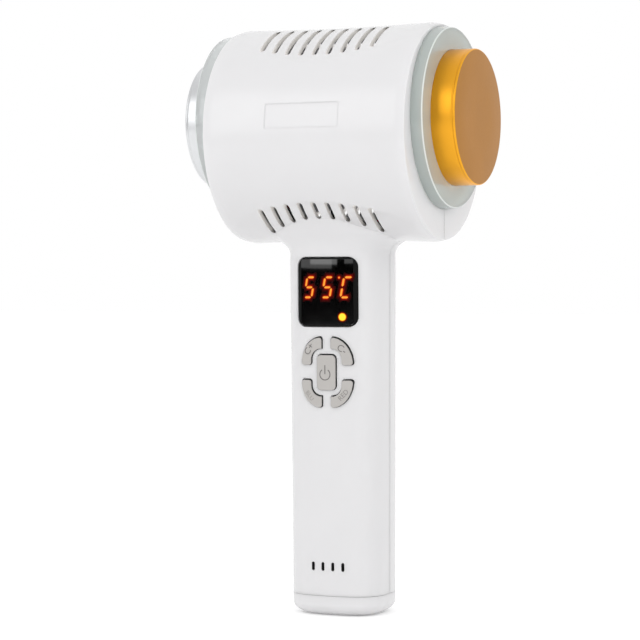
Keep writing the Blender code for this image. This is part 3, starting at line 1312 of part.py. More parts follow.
def leads():
    """Leads, each from one part's face to the next, clear of the bosses between."""
    gap = FIT + LEAD_RADIUS / 2
    side = DRIVER_BOARD_WIDTH / 4
    lane = BOSS_RADIUS + 3 * LEAD_RADIUS
    jack_top = JACK_TOP_Z + gap
    jack_y = -JACK_DEPTH / 4
    board_y = DRIVER_BOARD_Y + DRIVER_BOARD_THICKNESS / 2
    low = DRIVER_BOARD_BOTTOM - gap
    lead("power_lead", [(side, jack_y, jack_top), (lane, jack_y, GRIP_SCREW_LOWER_Z - 2 * BOSS_RADIUS),
                        (lane, 0, GRIP_SCREW_LOWER_Z), (side, board_y, low)], LEAD_RADIUS, RED)
    high = DRIVER_BOARD_TOP + gap
    board_back = -CONTROL_BOARD_BACK + CONTROL_BOARD_THICKNESS / 2 - CONTROL_BOARD_THICKNESS
    lead("board_lead", [(side, board_y, high), (lane, 0, GRIP_SCREW_UPPER_Z),
                        (side, board_back, CONTROL_BOARD_BOTTOM - gap)], LEAD_RADIUS, DARK)
    top = CONTROL_BOARD_TOP + gap
    half = CONTROL_BOARD_WIDTH / 2
    fan_x = (-FAN_OUTER_X - FAN_INNER_X) / 2
    fan_bottom = HEAD_AXIS_Z - FAN_SIZE / 2
    drop = BARREL_AXIS_Z - CAVITY_RADIUS
    lead("fan_lead", [(0, board_back, top), (fan_x / 2, board_back / 2, drop + OVERRUN),
                      (fan_x, 0, (drop + fan_bottom) / 2), (fan_x, 0, fan_bottom - gap)],
         THIN_LEAD_RADIUS, DARK)
    pad_back = HEAD_FACE_X - HOT_FACE_THICKNESS - HEATER_THICKNESS - PAD_THICKNESS - 2 * FIT
    sensor_end = pad_back - (SENSOR_LENGTH - PAD_THICKNESS) - gap
    inside = HEAD_AXIS_Z - CARRIER_BORE_RADIUS / 2
    near, far = HEATER_ROUTE_SHARES
    lead("heater_lead", [(half / 2, board_back, top), (half, 0, drop + 2 * OVERRUN),
                         (CARRIER_INNER_X * near, 0, (drop + inside) / 2),
                         (CARRIER_INNER_X * far, 0, inside),
                         (CARRIER_OUTER_X, 0, HEAD_AXIS_Z), (sensor_end, 0, HEAD_AXIS_Z)],
         LEAD_RADIUS, RED)
    slot_x = -(CARRIER_INNER_X + CARRIER_OUTER_X) / 2
    slot_z = HEAD_AXIS_Z - SINK_SIZE / 2 - LEAD_NOTCH
    lead("peltier_lead", [(-half / 2, board_back, top), (-half, 0, drop + 2 * OVERRUN),
                          (-CARRIER_INNER_X * PELTIER_ROUTE_SHARE, 0, slot_z - 3 * LEAD_NOTCH),
                          (slot_x, 0, slot_z),
                          (slot_x, 0, HEAD_AXIS_Z - PELTIER_SIZE / 2 - gap)], THIN_LEAD_RADIUS, RED)
    notch_z = HEAD_AXIS_Z - (LIGHT_BOARD_INNER_RADIUS + LIGHT_BOARD_OUTER_RADIUS) / 2
    start, bend, near, far = LIGHT_ROUTE_SHARES
    for sign, name in ((1, "hot_led_lead"), (-1, "cold_led_lead")):
        lead(name, [(sign * half * start, board_back, top),
                    (sign * half * bend, board_back, drop + OVERRUN),
                    (sign * CARRIER_INNER_X * near, board_back, notch_z - LEAD_NOTCH),
                    (sign * CARRIER_INNER_X * far, 0, notch_z),
                    (sign * (LIGHT_BOARD_X - gap), 0, notch_z)], THIN_LEAD_RADIUS, DARK)


def build():
    clear_scene()
    skin = housing_skin()
    core = housing_core()
    holes = end_holes()
    front_shell(skin, core, holes)
    rear_shell(skin, core, holes)
    shell_screws()
    base_cap()
    dc_jack()
    hot_head()
    cold_head()
    light_ring("hot_light_ring", 1, HEAD_RADIUS)
    light_ring("cold_light_ring", -1, COLD_HEAD_RADIUS)
    hot_mount()
    cold_mount()
    light_board("hot_led_board", 1)
    light_board("cold_led_board", -1)
    hot_parts()
    cold_parts()
    heat_sink()
    fan_frame()
    fan_rotor()
    fan_screws()
    display()
    control_board()
    keys()
    lower_electronics()
    leads()


build()
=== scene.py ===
"""Looks of the hot and cold facial machine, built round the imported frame.

The outer pieces are made again with finer surfaces and edges, from the measures of the solids.
The inner solids keep their meshes and get their materials here. Lengths are in metres.
"""
import math

import bmesh
import bpy
from mathutils import Matrix, Vector
from mathutils.geometry import delaunay_2d_cdt


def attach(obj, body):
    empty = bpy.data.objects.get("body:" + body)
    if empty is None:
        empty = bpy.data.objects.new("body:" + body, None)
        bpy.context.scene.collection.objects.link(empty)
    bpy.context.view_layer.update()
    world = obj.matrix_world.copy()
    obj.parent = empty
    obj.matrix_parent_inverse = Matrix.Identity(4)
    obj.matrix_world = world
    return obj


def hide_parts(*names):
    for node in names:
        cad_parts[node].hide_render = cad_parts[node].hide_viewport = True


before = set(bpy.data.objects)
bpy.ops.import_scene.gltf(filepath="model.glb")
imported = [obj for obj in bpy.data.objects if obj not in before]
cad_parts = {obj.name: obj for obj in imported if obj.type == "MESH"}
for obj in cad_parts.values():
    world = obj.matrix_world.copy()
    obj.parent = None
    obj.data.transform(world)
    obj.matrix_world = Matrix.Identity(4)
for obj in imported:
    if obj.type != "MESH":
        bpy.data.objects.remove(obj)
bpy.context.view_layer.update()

# Measures of the solids
HEAD_RADIUS = 0.0232
COLD_HEAD_RADIUS = 0.021808
HEAD_WALL = 0.0020
HOT_FACE_THICKNESS = 0.0040
COLD_FACE_THICKNESS = 0.0030
COLD_CORE_SHARE = 0.80
COLD_FOOT_THICKNESS = 0.0030
COLD_FOOT_STAND = 0.0009
SUPPORT_INNER_RADIUS = 0.0229
GASKET_WALL = 0.0020
RING_RADIUS = 0.0313
BARREL_RADIUS = 0.0375
BARREL_HALF_LENGTH = 0.03695
BARREL_STRAIGHT = 0.03415
BARREL_SHIFT = 0.00095
BARREL_EDGE = 0.0012
END_BAND_FALL = 0.0006
END_EDGE = 0.0002
BARREL_AXIS_Z = 0.16685
HEAD_AXIS_Z = 0.17165
HOT_END_X = 0.0379
RING_HOLE_RADIUS = 0.03132
RING_FACE_X = 0.0420
RING_WALL = 0.0015
RING_EDGE = 0.0005
RING_DRAFT = 0.0004
RING_BORE_GAP = 0.0001
RING_FLANGE_THICKNESS = 0.0012
RING_FLANGE_GAP = 0.00001
HEAD_FACE_X = 0.0505
HEAD_EDGE = 0.0005
GROOVE_WIDTH = 0.00045
GROOVE_DEPTH = 0.00012
CAVITY_RADIUS = 0.0353
CAVITY_HALF_LENGTH = 0.0332
FLANGE_OUTER_X = 0.0329
FLANGE_INNER_X = 0.0317
CARRIER_OUTER_X = 0.0314
CARRIER_RADIUS = 0.0350
HEAD_FLANGE_OUTER_X = 0.0402
HEAD_FLANGE_INNER_X = 0.0389
HEAD_FLANGE_RADIUS = 0.0248
GRIP_HALF_WIDTH = 0.01775
GRIP_HALF_DEPTH = 0.0149
GRIP_ROUNDNESS = 2.87
GRIP_WALL = 0.0020
GRIP_TOP_Z = 0.12185
GRIP_FOOT_Z = 0.0072
GRIP_FOOT_SHARE = 0.968
NECK_HEIGHT = 0.0173
NECK_FILLET = 0.0160
NECK_TURN = math.radians(36)
NECK_SIDE_FILLET = 0.0045
NECK_SIDE_TURN = math.radians(60)
NECK_SIDE_START = 0.0030
NECK_HALF_WIDTH_LIMIT = 0.0260
NECK_ROUNDNESS = 2.1
CAP_TOP_Z = 0.0071
CAP_EDGE_HEIGHT = 0.0043
CAP_EDGE_INSET = 0.0060
CAP_WALL = 0.0022
CAP_SPIGOT_WALL = 0.0014
CAP_SPIGOT_FOOT_Z = 0.0047
CAP_SPIGOT_TOP_Z = 0.0095
SOCKET_WELL_RADIUS = 0.0043
SOCKET_WELL_WALL = 0.0018
SOCKET_WELL_DEPTH = 0.0052
GRIP_SCREW_UPPER_Z = 0.0626
GRIP_SCREW_LOWER_Z = 0.0306
SCREW_SEAT_Y = 0.0045
SCREW_WELL_RADIUS = 0.0027
SCREW_HOLE_RADIUS = 0.0015

# Clearances, tolerances and facets
FIT = 0.0003
SEAM = 0.00006
OVERRUN = 0.0020
MERGE_DISTANCE = 0.0000005
NEAR = 0.0001
LONG_EDGE = 0.002
MITRE_LIMIT = 0.6
GRID_MARGIN_SHARE = 0.45
ROUND = 144
ROUND_END_SHARE = 0.48

# Hollows and vents
HOLLOW_DEPTH = 0.0006
HOLLOW_EDGE_MIDDLE = math.radians(52)
HOLLOW_EDGE_END = math.radians(36)
HOLLOW_RAMP = math.radians(6)
VENT_COUNT = 9
VENT_PITCH = 0.0051
VENT_WIDTH = 0.0020
UPPER_VENT_DROP = 0.0016
UPPER_VENT_LENGTH = 0.0103
UPPER_VENT_BOW = 0.0022
LOWER_VENT_RISE = 0.0080
LOWER_VENT_LENGTH = 0.0055
LOWER_VENT_TOP_BOW = 0.0022
LOWER_VENT_BOTTOM_BOW = 0.0046
BOSS_RADIUS = 0.0033
BOSS_INSET = 0.0020
BARREL_SCREW_X = 0.0258
VENT_FIELD_HALF_WIDTH = 0.0235
VENT_FIELD_START = 0.022
PLATE_WIDTH = 0.0270
PLATE_HEIGHT = 0.0084
PLATE_CORNER = 0.00045
# Growth and depth of each step, and the inner growth of the last one, which is a groove
PLATE_STEPS = ((0.00025, 0.00006), (0.00012, 0.00016), (0.0, 0.00024), (0.0, 0.00034, -0.0003))

# Window, keys and sound slots
LENS_WIDTH = 0.0223
LENS_HEIGHT = 0.0237
LENS_CORNER = 0.0032
LENS_LEDGE = 0.0013
LENS_THICKNESS = 0.0011
LENS_Z = 0.11225
LENS_BED_MARGIN = 0.0015
LENS_BED_THICKNESS = 0.0012
KEYS_Z = 0.08445
KEY_PROUD = 0.0006
KEY_FLANGE = 0.0008
KEY_FLANGE_THICKNESS = 0.0008
POWER_KEY_WIDTH = 0.0070
POWER_KEY_HEIGHT = 0.0121
POWER_KEY_CORNER = 0.0015
KEYS_HALF_WIDTH = 0.0099
KEYS_HALF_HEIGHT = 0.0124
KEYS_ROUNDNESS = 2.45
KEY_BRIDGE = 0.0022
KEY_SIDE_GAP = 0.0034
KEY_CROSS_GAP = 0.0052
KEY_CORNER = 0.0013
KEY_CORNER_SHARE = 0.48
KEY_TIP_SHARE = 0.85
KEY_EDGE = 0.0003
KEY_GRID = 0.0008
SHARP_TURN = math.radians(35)
KEY_GAP = 0.00024
KEY_GAP_SHIFT = (0.00014, 0.00022)
KEY_SPREAD_SHARE = 0.08
SLOT_COUNT = 4
SLOT_PITCH = 0.0037
SLOT_WIDTH = 0.0011
SLOT_HEIGHT = 0.0030
SLOT_CORNER = 0.00053
SLOT_DEPTH = 0.0040
SLOT_Z = 0.01735
SLOT_FIELD_HALF_WIDTH = 0.0065
SLOT_FIELD_HALF_HEIGHT = 0.002
SLOT_FIELD_BACK_Y = -0.009
SLOT_LIP = 0.0004


# Mesh helpers

def new_object(name, mesh):
    item = bpy.data.objects.new(name, mesh)
    bpy.context.scene.collection.objects.link(item)
    return item


def from_bmesh(name, shape):
    mesh = bpy.data.meshes.new(name)
    bmesh.ops.recalc_face_normals(shape, faces=shape.faces)
    shape.to_mesh(mesh)
    shape.free()
    return new_object(name, mesh)


def shaded(item, angle=32):
    """Smooth shading, with the edges sharper than the angle left crisp."""
    mesh = item.data
    mesh.polygons.foreach_set("use_smooth", [True] * len(mesh.polygons))
    mesh.set_sharp_from_angle(angle=math.radians(angle))
    return item


def boolean(target, other, operation='DIFFERENCE'):
    """Applies the operation at once and removes the other shape."""
    step = target.modifiers.new("step", 'BOOLEAN')
    step.operation = operation
    step.solver = 'EXACT'
    step.object = other
    bpy.context.view_layer.update()
    done = target.evaluated_get(bpy.context.evaluated_depsgraph_get())
    mesh = bpy.data.meshes.new_from_object(done)
    target.modifiers.clear()
    old = target.data
    target.data = mesh
    bpy.data.meshes.remove(old)
    bpy.data.objects.remove(other, do_unlink=True)
    return target


def joined(name, items):
    shape = bmesh.new()
    for item in items:
        shape.from_mesh(item.data)
        bpy.data.objects.remove(item, do_unlink=True)
    return from_bmesh(name, shape)


def bridge(shape, rings):
    """Faces between neighbouring rings of equally many points."""
    for lower, upper in zip(rings, rings[1:]):
        for i in range(len(lower)):
            j = (i + 1) % len(lower)
            shape.faces.new((lower[i], lower[j], upper[j], upper[i]))


def loft(name, sections):
    """Closed solid through rings of equally many points."""
    shape = bmesh.new()
    rings = [[shape.verts.new(point) for point in section] for section in sections]
    bridge(shape, rings)
    shape.faces.new(rings[0])
    shape.faces.new(rings[-1])
    return from_bmesh(name, shape)


def turned(name, profile, base, direction, closed=False, sides=ROUND):
    """A profile of (radius, height) points turned about a direction through the base."""
    place = Matrix.Translation(Vector(base)) @ Vector((0, 0, 1)).rotation_difference(
        Vector(direction)).to_matrix().to_4x4()
    shape = bmesh.new()
    rings = []
    for radius, height in profile:
        turns = [2 * math.pi * i / sides for i in range(sides if radius else 1)]
        rings.append([shape.verts.new(place @ Vector((radius * math.cos(turn), radius * math.sin(turn),
                                                      height))) for turn in turns])
    pairs = list(zip(rings, rings[1:]))
    if closed:
        pairs.append((rings[-1], rings[0]))
    for upper, lower in pairs:
        for i in range(sides):
            j = (i + 1) % sides
            corners = [upper[i % len(upper)], upper[j % len(upper)],
                       lower[j % len(lower)], lower[i % len(lower)]]
            unique = list(dict.fromkeys(corners))
            if len(unique) > 2:
                shape.faces.new(unique)
    return from_bmesh(name, shape)


def rod(name, base, direction, length, radius, sides=48):
    return turned(name, [(0, length), (radius, length), (radius, 0), (0, 0)], base, direction, False, sides)


def slab(name, outline, front, thickness):
    """An outline of (x, z) points from y = front going back by its thickness."""
    return loft(name, [[(x, front, z) for x, z in outline],
                       [(x, front + thickness, z) for x, z in outline]])


def arc_points(centre, radius, start, turn, steps):
    return [(centre[0] + radius * math.cos(start + turn * i / steps),
             centre[1] + radius * math.sin(start + turn * i / steps)) for i in range(steps + 1)]


def quarter_turn(steps):
    return [math.pi / 2 * i / steps for i in range(steps + 1)]


def rounded_corner(first, second, size, steps=6):
    """Profile points round an outer corner at (first, second)."""
    return [(first - size * (1 - math.sin(a)), second - size * (1 - math.cos(a)))
            for a in quarter_turn(steps)]


def rounded_rectangle(width, height, corner, centre_z, steps=8, centre_x=0.0):
    right, top = width / 2 - corner, height / 2 - corner
    points = []
    for quarter, (x, z) in enumerate(((right, top), (-right, top), (-right, -top), (right, -top))):
        points += arc_points((centre_x + x, centre_z + z), corner, quarter * math.pi / 2, math.pi / 2, steps)
    return points


def stepped(points, steps):
    """The outline with each long edge divided into equal steps."""
    result = []
    for a, b in zip(points, points[1:] + points[:1]):
        count = steps if math.dist(a, b) > LONG_EDGE else 1
        result += [tuple(Vector(a).lerp(Vector(b), i / count)) for i in range(count)]
    return result


def inset(points, distance):
    """The counter-clockwise outline moved inwards, or outwards where the distance is negative."""
    result = []
    count = len(points)
    for i in range(count):
        before, here, after = (Vector(points[i - 1]), Vector(points[i]), Vector(points[(i + 1) % count]))
        u, v = (here - before).normalized(), (after - here).normalized()
        first, second = Vector((-u.y, u.x)), Vector((-v.y, v.x))
        move = (first + second) / max(1 + first.dot(second), MITRE_LIMIT)
        result.append(tuple(here + move * distance))
    return result


def filled(outline, spacing):
    """Triangles inside an outline, with a grid of points so that they can follow a curve."""
    (left, right), (low, high) = ((min(values), max(values)) for values in zip(*outline))
    columns, rows = int((right - left) / spacing) + 1, int((high - low) / spacing) + 1
    grid = [(left + i * spacing, low + j * spacing) for i in range(1, columns) for j in range(1, rows)]
    points = outline + [point for point in grid if inside(point, outline, spacing * GRID_MARGIN_SHARE)]
    made = delaunay_2d_cdt([Vector(p) for p in points], [], [list(range(len(outline)))], 1, 1e-9)
    return made[0], made[2]


def inside(point, outline, margin):
    """Whether a point lies inside an outline and clear of it by the margin."""
    x, z = point
    hit = False
    for (x1, z1), (x2, z2) in zip(outline, outline[1:] + outline[:1]):
        if (z1 > z) != (z2 > z) and x < (x2 - x1) * (z - z1) / (z2 - z1) + x1:
            hit = not hit
        along = Vector((x2 - x1, z2 - z1))
        if along.length_squared > 0:
            t = min(max((Vector(point) - Vector((x1, z1))).dot(along) / along.length_squared, 0), 1)
            if (Vector((x1, z1)) + along * t - Vector(point)).length < margin:
                return False
    return hit


def edge_rings(shape, outline, surface, radius, steps):
    """Rings of points round a front edge, and the outline of the last one."""
    rings = []
    for angle in quarter_turn(steps):
        flat = inset(outline, radius * (1 - math.cos(angle)))
        drop = radius * (1 - math.sin(angle))
        rings.append([shape.verts.new((x, surface(x, z) + drop, z)) for x, z in flat])
    return rings, flat


def fronted(name, shape, rings, outline, surface, spacing):
    """Bridges the rings, fills the outline in front along the surface and closes the back."""
    bridge(shape, rings)
    points, faces = filled(outline, spacing)
    front = [shape.verts.new((x, surface(x, z), z)) for x, z in points]
    for face in faces:
        shape.faces.new([front[i] for i in face])
    shape.faces.new(rings[0])
    bmesh.ops.remove_doubles(shape, verts=shape.verts, dist=MERGE_DISTANCE)
    return from_bmesh(name, shape)


def cushion(name, outline, surface, radius, spacing, base):
    """A solid with a rounded front edge and a front that follows a surface.

    The outline runs counter-clockwise. Base gives the (outline, depth) rings behind it, the back first.
    """
    shape = bmesh.new()
    rings = [[shape.verts.new((x, y, z)) for x, z in ring] for ring, y in base]
    edge, flat = edge_rings(shape, outline, surface, radius, 4 if radius > NEAR else 2)
    return fronted(name, shape, rings + edge, flat, surface, spacing)


# Surfaces of the housing

def hollow_edge(x):
    share = min(abs(x) / BARREL_STRAIGHT, 1)
    return HOLLOW_EDGE_MIDDLE - (HOLLOW_EDGE_MIDDLE - HOLLOW_EDGE_END) * share ** 2


def ring_angles(x):
    edge = hollow_edge(x)
    inner = edge - HOLLOW_RAMP
    crown = [inner * i / 12 for i in range(12)] + [inner + HOLLOW_RAMP * i / 8 for i in range(9)]
    side = [edge + (math.pi - 2 * edge) * i / 32 for i in range(1, 32)]
    half = crown + side + [math.pi - a for a in reversed(crown)]
    return half + [2 * math.pi - a for a in reversed(half[1:-1])]


def hollow_depth(x, angle):
    fold = abs((angle + math.pi) % (2 * math.pi) - math.pi)
    fold = min(fold, math.pi - fold)
    reach = min(max((hollow_edge(x) - fold) / HOLLOW_RAMP, 0.0), 1.0)
    fade = max(0.0, 1 - (x / (BARREL_STRAIGHT - BARREL_EDGE)) ** 2)
    return HOLLOW_DEPTH * fade * reach * reach * (3 - 2 * reach)


def barrel_ring(x, radius):
    """Points round the barrel at a distance along X from its middle."""
    ring = []
    for angle in ring_angles(x):
        reach = radius - hollow_depth(x, angle)
        ring.append((x + BARREL_SHIFT, -reach * math.sin(angle), BARREL_AXIS_Z + reach * math.cos(angle)))
    return ring


def barrel_skin():
    """Outside of the barrel: round, with a band at each end that falls in a little."""
    rim_radius = BARREL_RADIUS - END_BAND_FALL
    corner = (BARREL_STRAIGHT, BARREL_RADIUS)
    start = (BARREL_STRAIGHT - BARREL_EDGE, BARREL_RADIUS)
    share = BARREL_EDGE / (BARREL_HALF_LENGTH - BARREL_STRAIGHT)
    end = (corner[0] + BARREL_EDGE, corner[1] - END_BAND_FALL * share)
    ends = [tuple(a * (1 - t) ** 2 + 2 * b * t * (1 - t) + c * t ** 2
                  for a, b, c in zip(start, corner, end)) for t in [i / 8 for i in range(9)]]
    ends += rounded_corner(BARREL_HALF_LENGTH, rim_radius, END_EDGE, 5)
    middle = [(start[0] * (i / 20 - 1), BARREL_RADIUS) for i in range(1, 40)]
    stations = [(-x, radius) for x, radius in reversed(ends)] + middle + ends
    return loft("barrel_skin", [barrel_ring(*station) for station in stations])


def grip_share(z):
    down = min(max((GRIP_TOP_Z - z) / (GRIP_TOP_Z - GRIP_FOOT_Z), 0), 1)
    return 1 - (1 - GRIP_FOOT_SHARE) * down


def grip_depth(x, z, wall=0.0):
    width = GRIP_HALF_WIDTH * grip_share(z) - wall
    depth = GRIP_HALF_DEPTH * grip_share(z) - wall
    return depth * max(1 - abs(x / width) ** GRIP_ROUNDNESS, 0) ** (1 / GRIP_ROUNDNESS)


def flare(height, radius, turn):
    bend = radius * math.sin(turn)
    if height <= 0:
        return 0.0
    if height < bend:
        return radius - math.sqrt(radius ** 2 - height ** 2)
    return radius * (1 - math.cos(turn)) + (height - bend) * math.tan(turn)


def grip_section(z, wall=0.0, steps=26):
    share = grip_share(z)
    above = z - GRIP_TOP_Z
    width = GRIP_HALF_WIDTH * share + flare(above - NECK_SIDE_START, NECK_SIDE_FILLET, NECK_SIDE_TURN)
    width = min(width, NECK_HALF_WIDTH_LIMIT) - wall
    depth = GRIP_HALF_DEPTH * share + flare(above, NECK_FILLET, NECK_TURN) - wall
    up = min(max(above / NECK_HEIGHT, 0), 1)
    power = 2 / (GRIP_ROUNDNESS + (NECK_ROUNDNESS - GRIP_ROUNDNESS) * up)
    quarter = [(width * math.cos(a) ** power, depth * math.sin(a) ** power)
               for a in quarter_turn(steps)[:-1]]
    half = quarter + [(0.0, depth)] + [(-x, y) for x, y in reversed(quarter[1:])]
    return [(x, y, z) for x, y in half] + [(-x, -y, z) for x, y in half]


def grip_skin():
    span = GRIP_TOP_Z - GRIP_FOOT_Z
    levels = [GRIP_FOOT_Z + span * i / 12 for i in range(12)]
    levels += [GRIP_TOP_Z + NECK_HEIGHT * i / 30 for i in range(31)]
    return loft("grip_skin", [grip_section(z) for z in levels])


def lens_back():
    return grip_depth(LENS_WIDTH / 2, LENS_Z) - LENS_THICKNESS


def key_flange_front():
    return grip_depth(KEYS_HALF_WIDTH + KEY_FLANGE, KEYS_Z, GRIP_WALL) - FIT


def softened(points, corner):
    """The outline with each sharp corner rounded off."""
    result = []
    count = len(points)
    for i in range(count):
        before, here, after = (Vector(points[i - 1]), Vector(points[i]), Vector(points[(i + 1) % count]))
        back, ahead = before - here, after - here
        if math.pi - back.angle(ahead) < SHARP_TURN:
            result.append(tuple(here))
            continue
        size = min(corner, back.length * KEY_CORNER_SHARE, ahead.length * KEY_CORNER_SHARE)
        a, b = here + back.normalized() * size, here + ahead.normalized() * size
        tip = here * KEY_TIP_SHARE + (a + b) * (1 - KEY_TIP_SHARE) / 2
        result += [tuple(a * (1 - t) ** 2 + tip * 2 * t * (1 - t) + b * t ** 2)
                   for t in [i / 5 for i in range(6)]]
    return result


def quadrant_outline(right, upper, grow=0.0):
    """One of the four keys round the power key, counter-clockwise."""
    outer_w, outer_h = KEYS_HALF_WIDTH + grow, KEYS_HALF_HEIGHT + grow
    inner_w = POWER_KEY_WIDTH / 2 + KEY_BRIDGE - grow
    inner_h = POWER_KEY_HEIGHT / 2 + KEY_BRIDGE - grow
    side, cross = KEY_SIDE_GAP / 2 - grow, KEY_CROSS_GAP / 2 - grow
    bend = POWER_KEY_CORNER + KEY_BRIDGE - grow
    power = 2 / KEYS_ROUNDNESS
    start = math.asin((cross / outer_h) ** (1 / power))
    end = math.acos((side / outer_w) ** (1 / power))
    points = []
    for i in range(8):
        t = i / 7
        angle = start + (end - start) * (t + KEY_SPREAD_SHARE * math.sin(2 * math.pi * t))
        points.append((outer_w * math.cos(angle) ** power, outer_h * math.sin(angle) ** power))
    points.append((side, inner_h))
    points += arc_points((inner_w - bend, inner_h - bend), bend, math.pi / 2, -math.pi / 2, 8)
    points.append((inner_w, cross))
    points = softened(points, KEY_CORNER)
    points = [(x if right else -x, z if upper else -z) for x, z in points]
    return points if right == upper else points[::-1]


def key_outlines(grow=0.0):
    outlines = {"power_key": rounded_rectangle(POWER_KEY_WIDTH + 2 * grow, POWER_KEY_HEIGHT + 2 * grow,
                                               POWER_KEY_CORNER + grow, 0.0)}
    for name, right, upper in (("warmer_key", False, True), ("cooler_key", True, True),
                               ("blue_key", False, False), ("red_key", True, False)):
        outlines[name] = quadrant_outline(right, upper, grow)
    return {name: [(x, z + KEYS_Z) for x, z in outline] for name, outline in outlines.items()}


# Housing

def vents():
    """Slots that run straight through the barrel from front to back."""
    cutters = []
    edge = VENT_PITCH * (VENT_COUNT - 1) / 2
    far = BARREL_RADIUS + OVERRUN
    upper_top = BARREL_RADIUS - UPPER_VENT_DROP
    lower_bottom = LOWER_VENT_RISE - BARREL_RADIUS
    for index in range(VENT_COUNT):
        bow = (VENT_PITCH * index / edge - 1) ** 2
        x = VENT_PITCH * index - edge + BARREL_SHIFT
        upper = (upper_top - UPPER_VENT_LENGTH + UPPER_VENT_BOW * bow, upper_top)
        lower = (lower_bottom - LOWER_VENT_BOTTOM_BOW * bow,
                 lower_bottom + LOWER_VENT_LENGTH - LOWER_VENT_TOP_BOW * bow)
        for row, (low, high) in enumerate((upper, lower)):
            outline = rounded_rectangle(VENT_WIDTH, high - low, VENT_WIDTH * ROUND_END_SHARE,
                                        BARREL_AXIS_Z + (low + high) / 2, 6, x)
            cutters.append(slab(f"vent_{row}_{index}", outline, -far, 2 * far))
    return joined("vents", cutters)


def screw_places():
    """X, Z and the reach of the boss behind each screw."""
    high = BARREL_AXIS_Z + CAVITY_RADIUS - BOSS_RADIUS - BOSS_INSET
    return [(-BARREL_SCREW_X, high, BARREL_RADIUS), (BARREL_SCREW_X, high, BARREL_RADIUS),
            (0, GRIP_SCREW_UPPER_Z, GRIP_HALF_DEPTH), (0, GRIP_SCREW_LOWER_Z, GRIP_HALF_DEPTH)]


def housing_core():
    """The hollow inside, less the screw bosses and the lens's bed."""
    core = rod("core", (-CAVITY_HALF_LENGTH, 0, BARREL_AXIS_Z), (1, 0, 0), 2 * CAVITY_HALF_LENGTH,
               CAVITY_RADIUS, 96)
    levels = [GRIP_FOOT_Z - OVERRUN, GRIP_TOP_Z, GRIP_TOP_Z + NECK_HEIGHT]
    rings = [[(x, y, z) for x, y, _ in grip_section(min(z, GRIP_TOP_Z), GRIP_WALL, 12)] for z in levels]
    boolean(core, loft("grip_cavity", rings), 'UNION')
    posts = [rod(f"boss_{i}", (x, -depth, z), (0, 1, 0), 2 * depth, BOSS_RADIUS)
             for i, (x, z, depth) in enumerate(screw_places())]
    boolean(core, joined("posts", posts))
    right, top = LENS_WIDTH / 2 + LENS_BED_MARGIN, LENS_HEIGHT / 2 + LENS_BED_MARGIN
    bed = [(x, LENS_Z + z) for x, z in ((right, top), (-right, top), (-right, -top), (right, -top))]
    back = lens_back() - FIT - LENS_BED_THICKNESS
    return boolean(core, slab("lens_bed", bed, -GRIP_HALF_DEPTH, GRIP_HALF_DEPTH - back))


def halved(item, side):
    """Keeps the solid's half on one side of the parting plane and closes it there."""
    shape = bmesh.new()
    shape.from_mesh(item.data)
    cut = bmesh.ops.bisect_plane(shape, geom=shape.verts[:] + shape.edges[:] + shape.faces[:], dist=1e-7,
                                 plane_co=(0, side * SEAM / 2, 0), plane_no=(0, side, 0), clear_inner=True)
    rim = [edge for edge in cut["geom_cut"] if isinstance(edge, bmesh.types.BMEdge) and not edge.is_manifold]
    bmesh.ops.triangle_fill(shape, use_beauty=True, edges=rim)
    bmesh.ops.recalc_face_normals(shape, faces=shape.faces)
    shape.to_mesh(item.data)
    shape.free()
    return item


def end_holes():
    start = FLANGE_INNER_X - FIT
    holes = [rod(f"end_hole_{sign}", (sign * start, 0, HEAD_AXIS_Z), (sign, 0, 0),
                 HOT_END_X + OVERRUN - start, RING_HOLE_RADIUS, ROUND) for sign in (-1, 1)]
    return joined("end_holes", holes)


def plate_outline(grow):
    return rounded_rectangle(PLATE_WIDTH + 2 * grow, PLATE_HEIGHT + 2 * grow, PLATE_CORNER + max(grow, 0),
                             HEAD_AXIS_Z, 4, BARREL_SHIFT)


def plate_cutter(grow, depth, inner=None):
    """Cuts the plate to a depth, or only a groove along its edge where an inner growth is given."""
    front = -BARREL_RADIUS - OVERRUN
    plate = slab("plate", plate_outline(grow), front, BARREL_RADIUS / 2)
    if inner is not None:
        boolean(plate, slab("field", plate_outline(inner), front - OVERRUN, BARREL_RADIUS))
    floor = rod("floor", (-PLATE_WIDTH, 0, BARREL_AXIS_Z), (1, 0, 0), 2 * PLATE_WIDTH, BARREL_RADIUS - depth,
                200)
    return boolean(plate, floor)


def front_openings():
    far = -GRIP_HALF_DEPTH - OVERRUN
    floor = FIT - lens_back()
    window = rounded_rectangle(LENS_WIDTH - 2 * LENS_LEDGE, LENS_HEIGHT - 2 * LENS_LEDGE, LENS_CORNER, LENS_Z)
    items = [slab("window", window, far, floor - far + 2 * LENS_BED_THICKNESS)]
    for name, outline in key_outlines(KEY_GAP).items():
        moved = [(x + KEY_GAP_SHIFT[0], z + KEY_GAP_SHIFT[1]) for x, z in outline]
        items.append(slab(f"{name}_hole", moved, far, -key_flange_front() - far))
    for index in range(SLOT_COUNT):
        slot = rounded_rectangle(SLOT_WIDTH, SLOT_HEIGHT, SLOT_CORNER, SLOT_Z, 6,
                                 SLOT_PITCH * (index - (SLOT_COUNT - 1) / 2))
        items.append(slab(f"slot_{index}", slot, far, -GRIP_HALF_DEPTH + SLOT_DEPTH - far))
    return joined("front_openings", items)


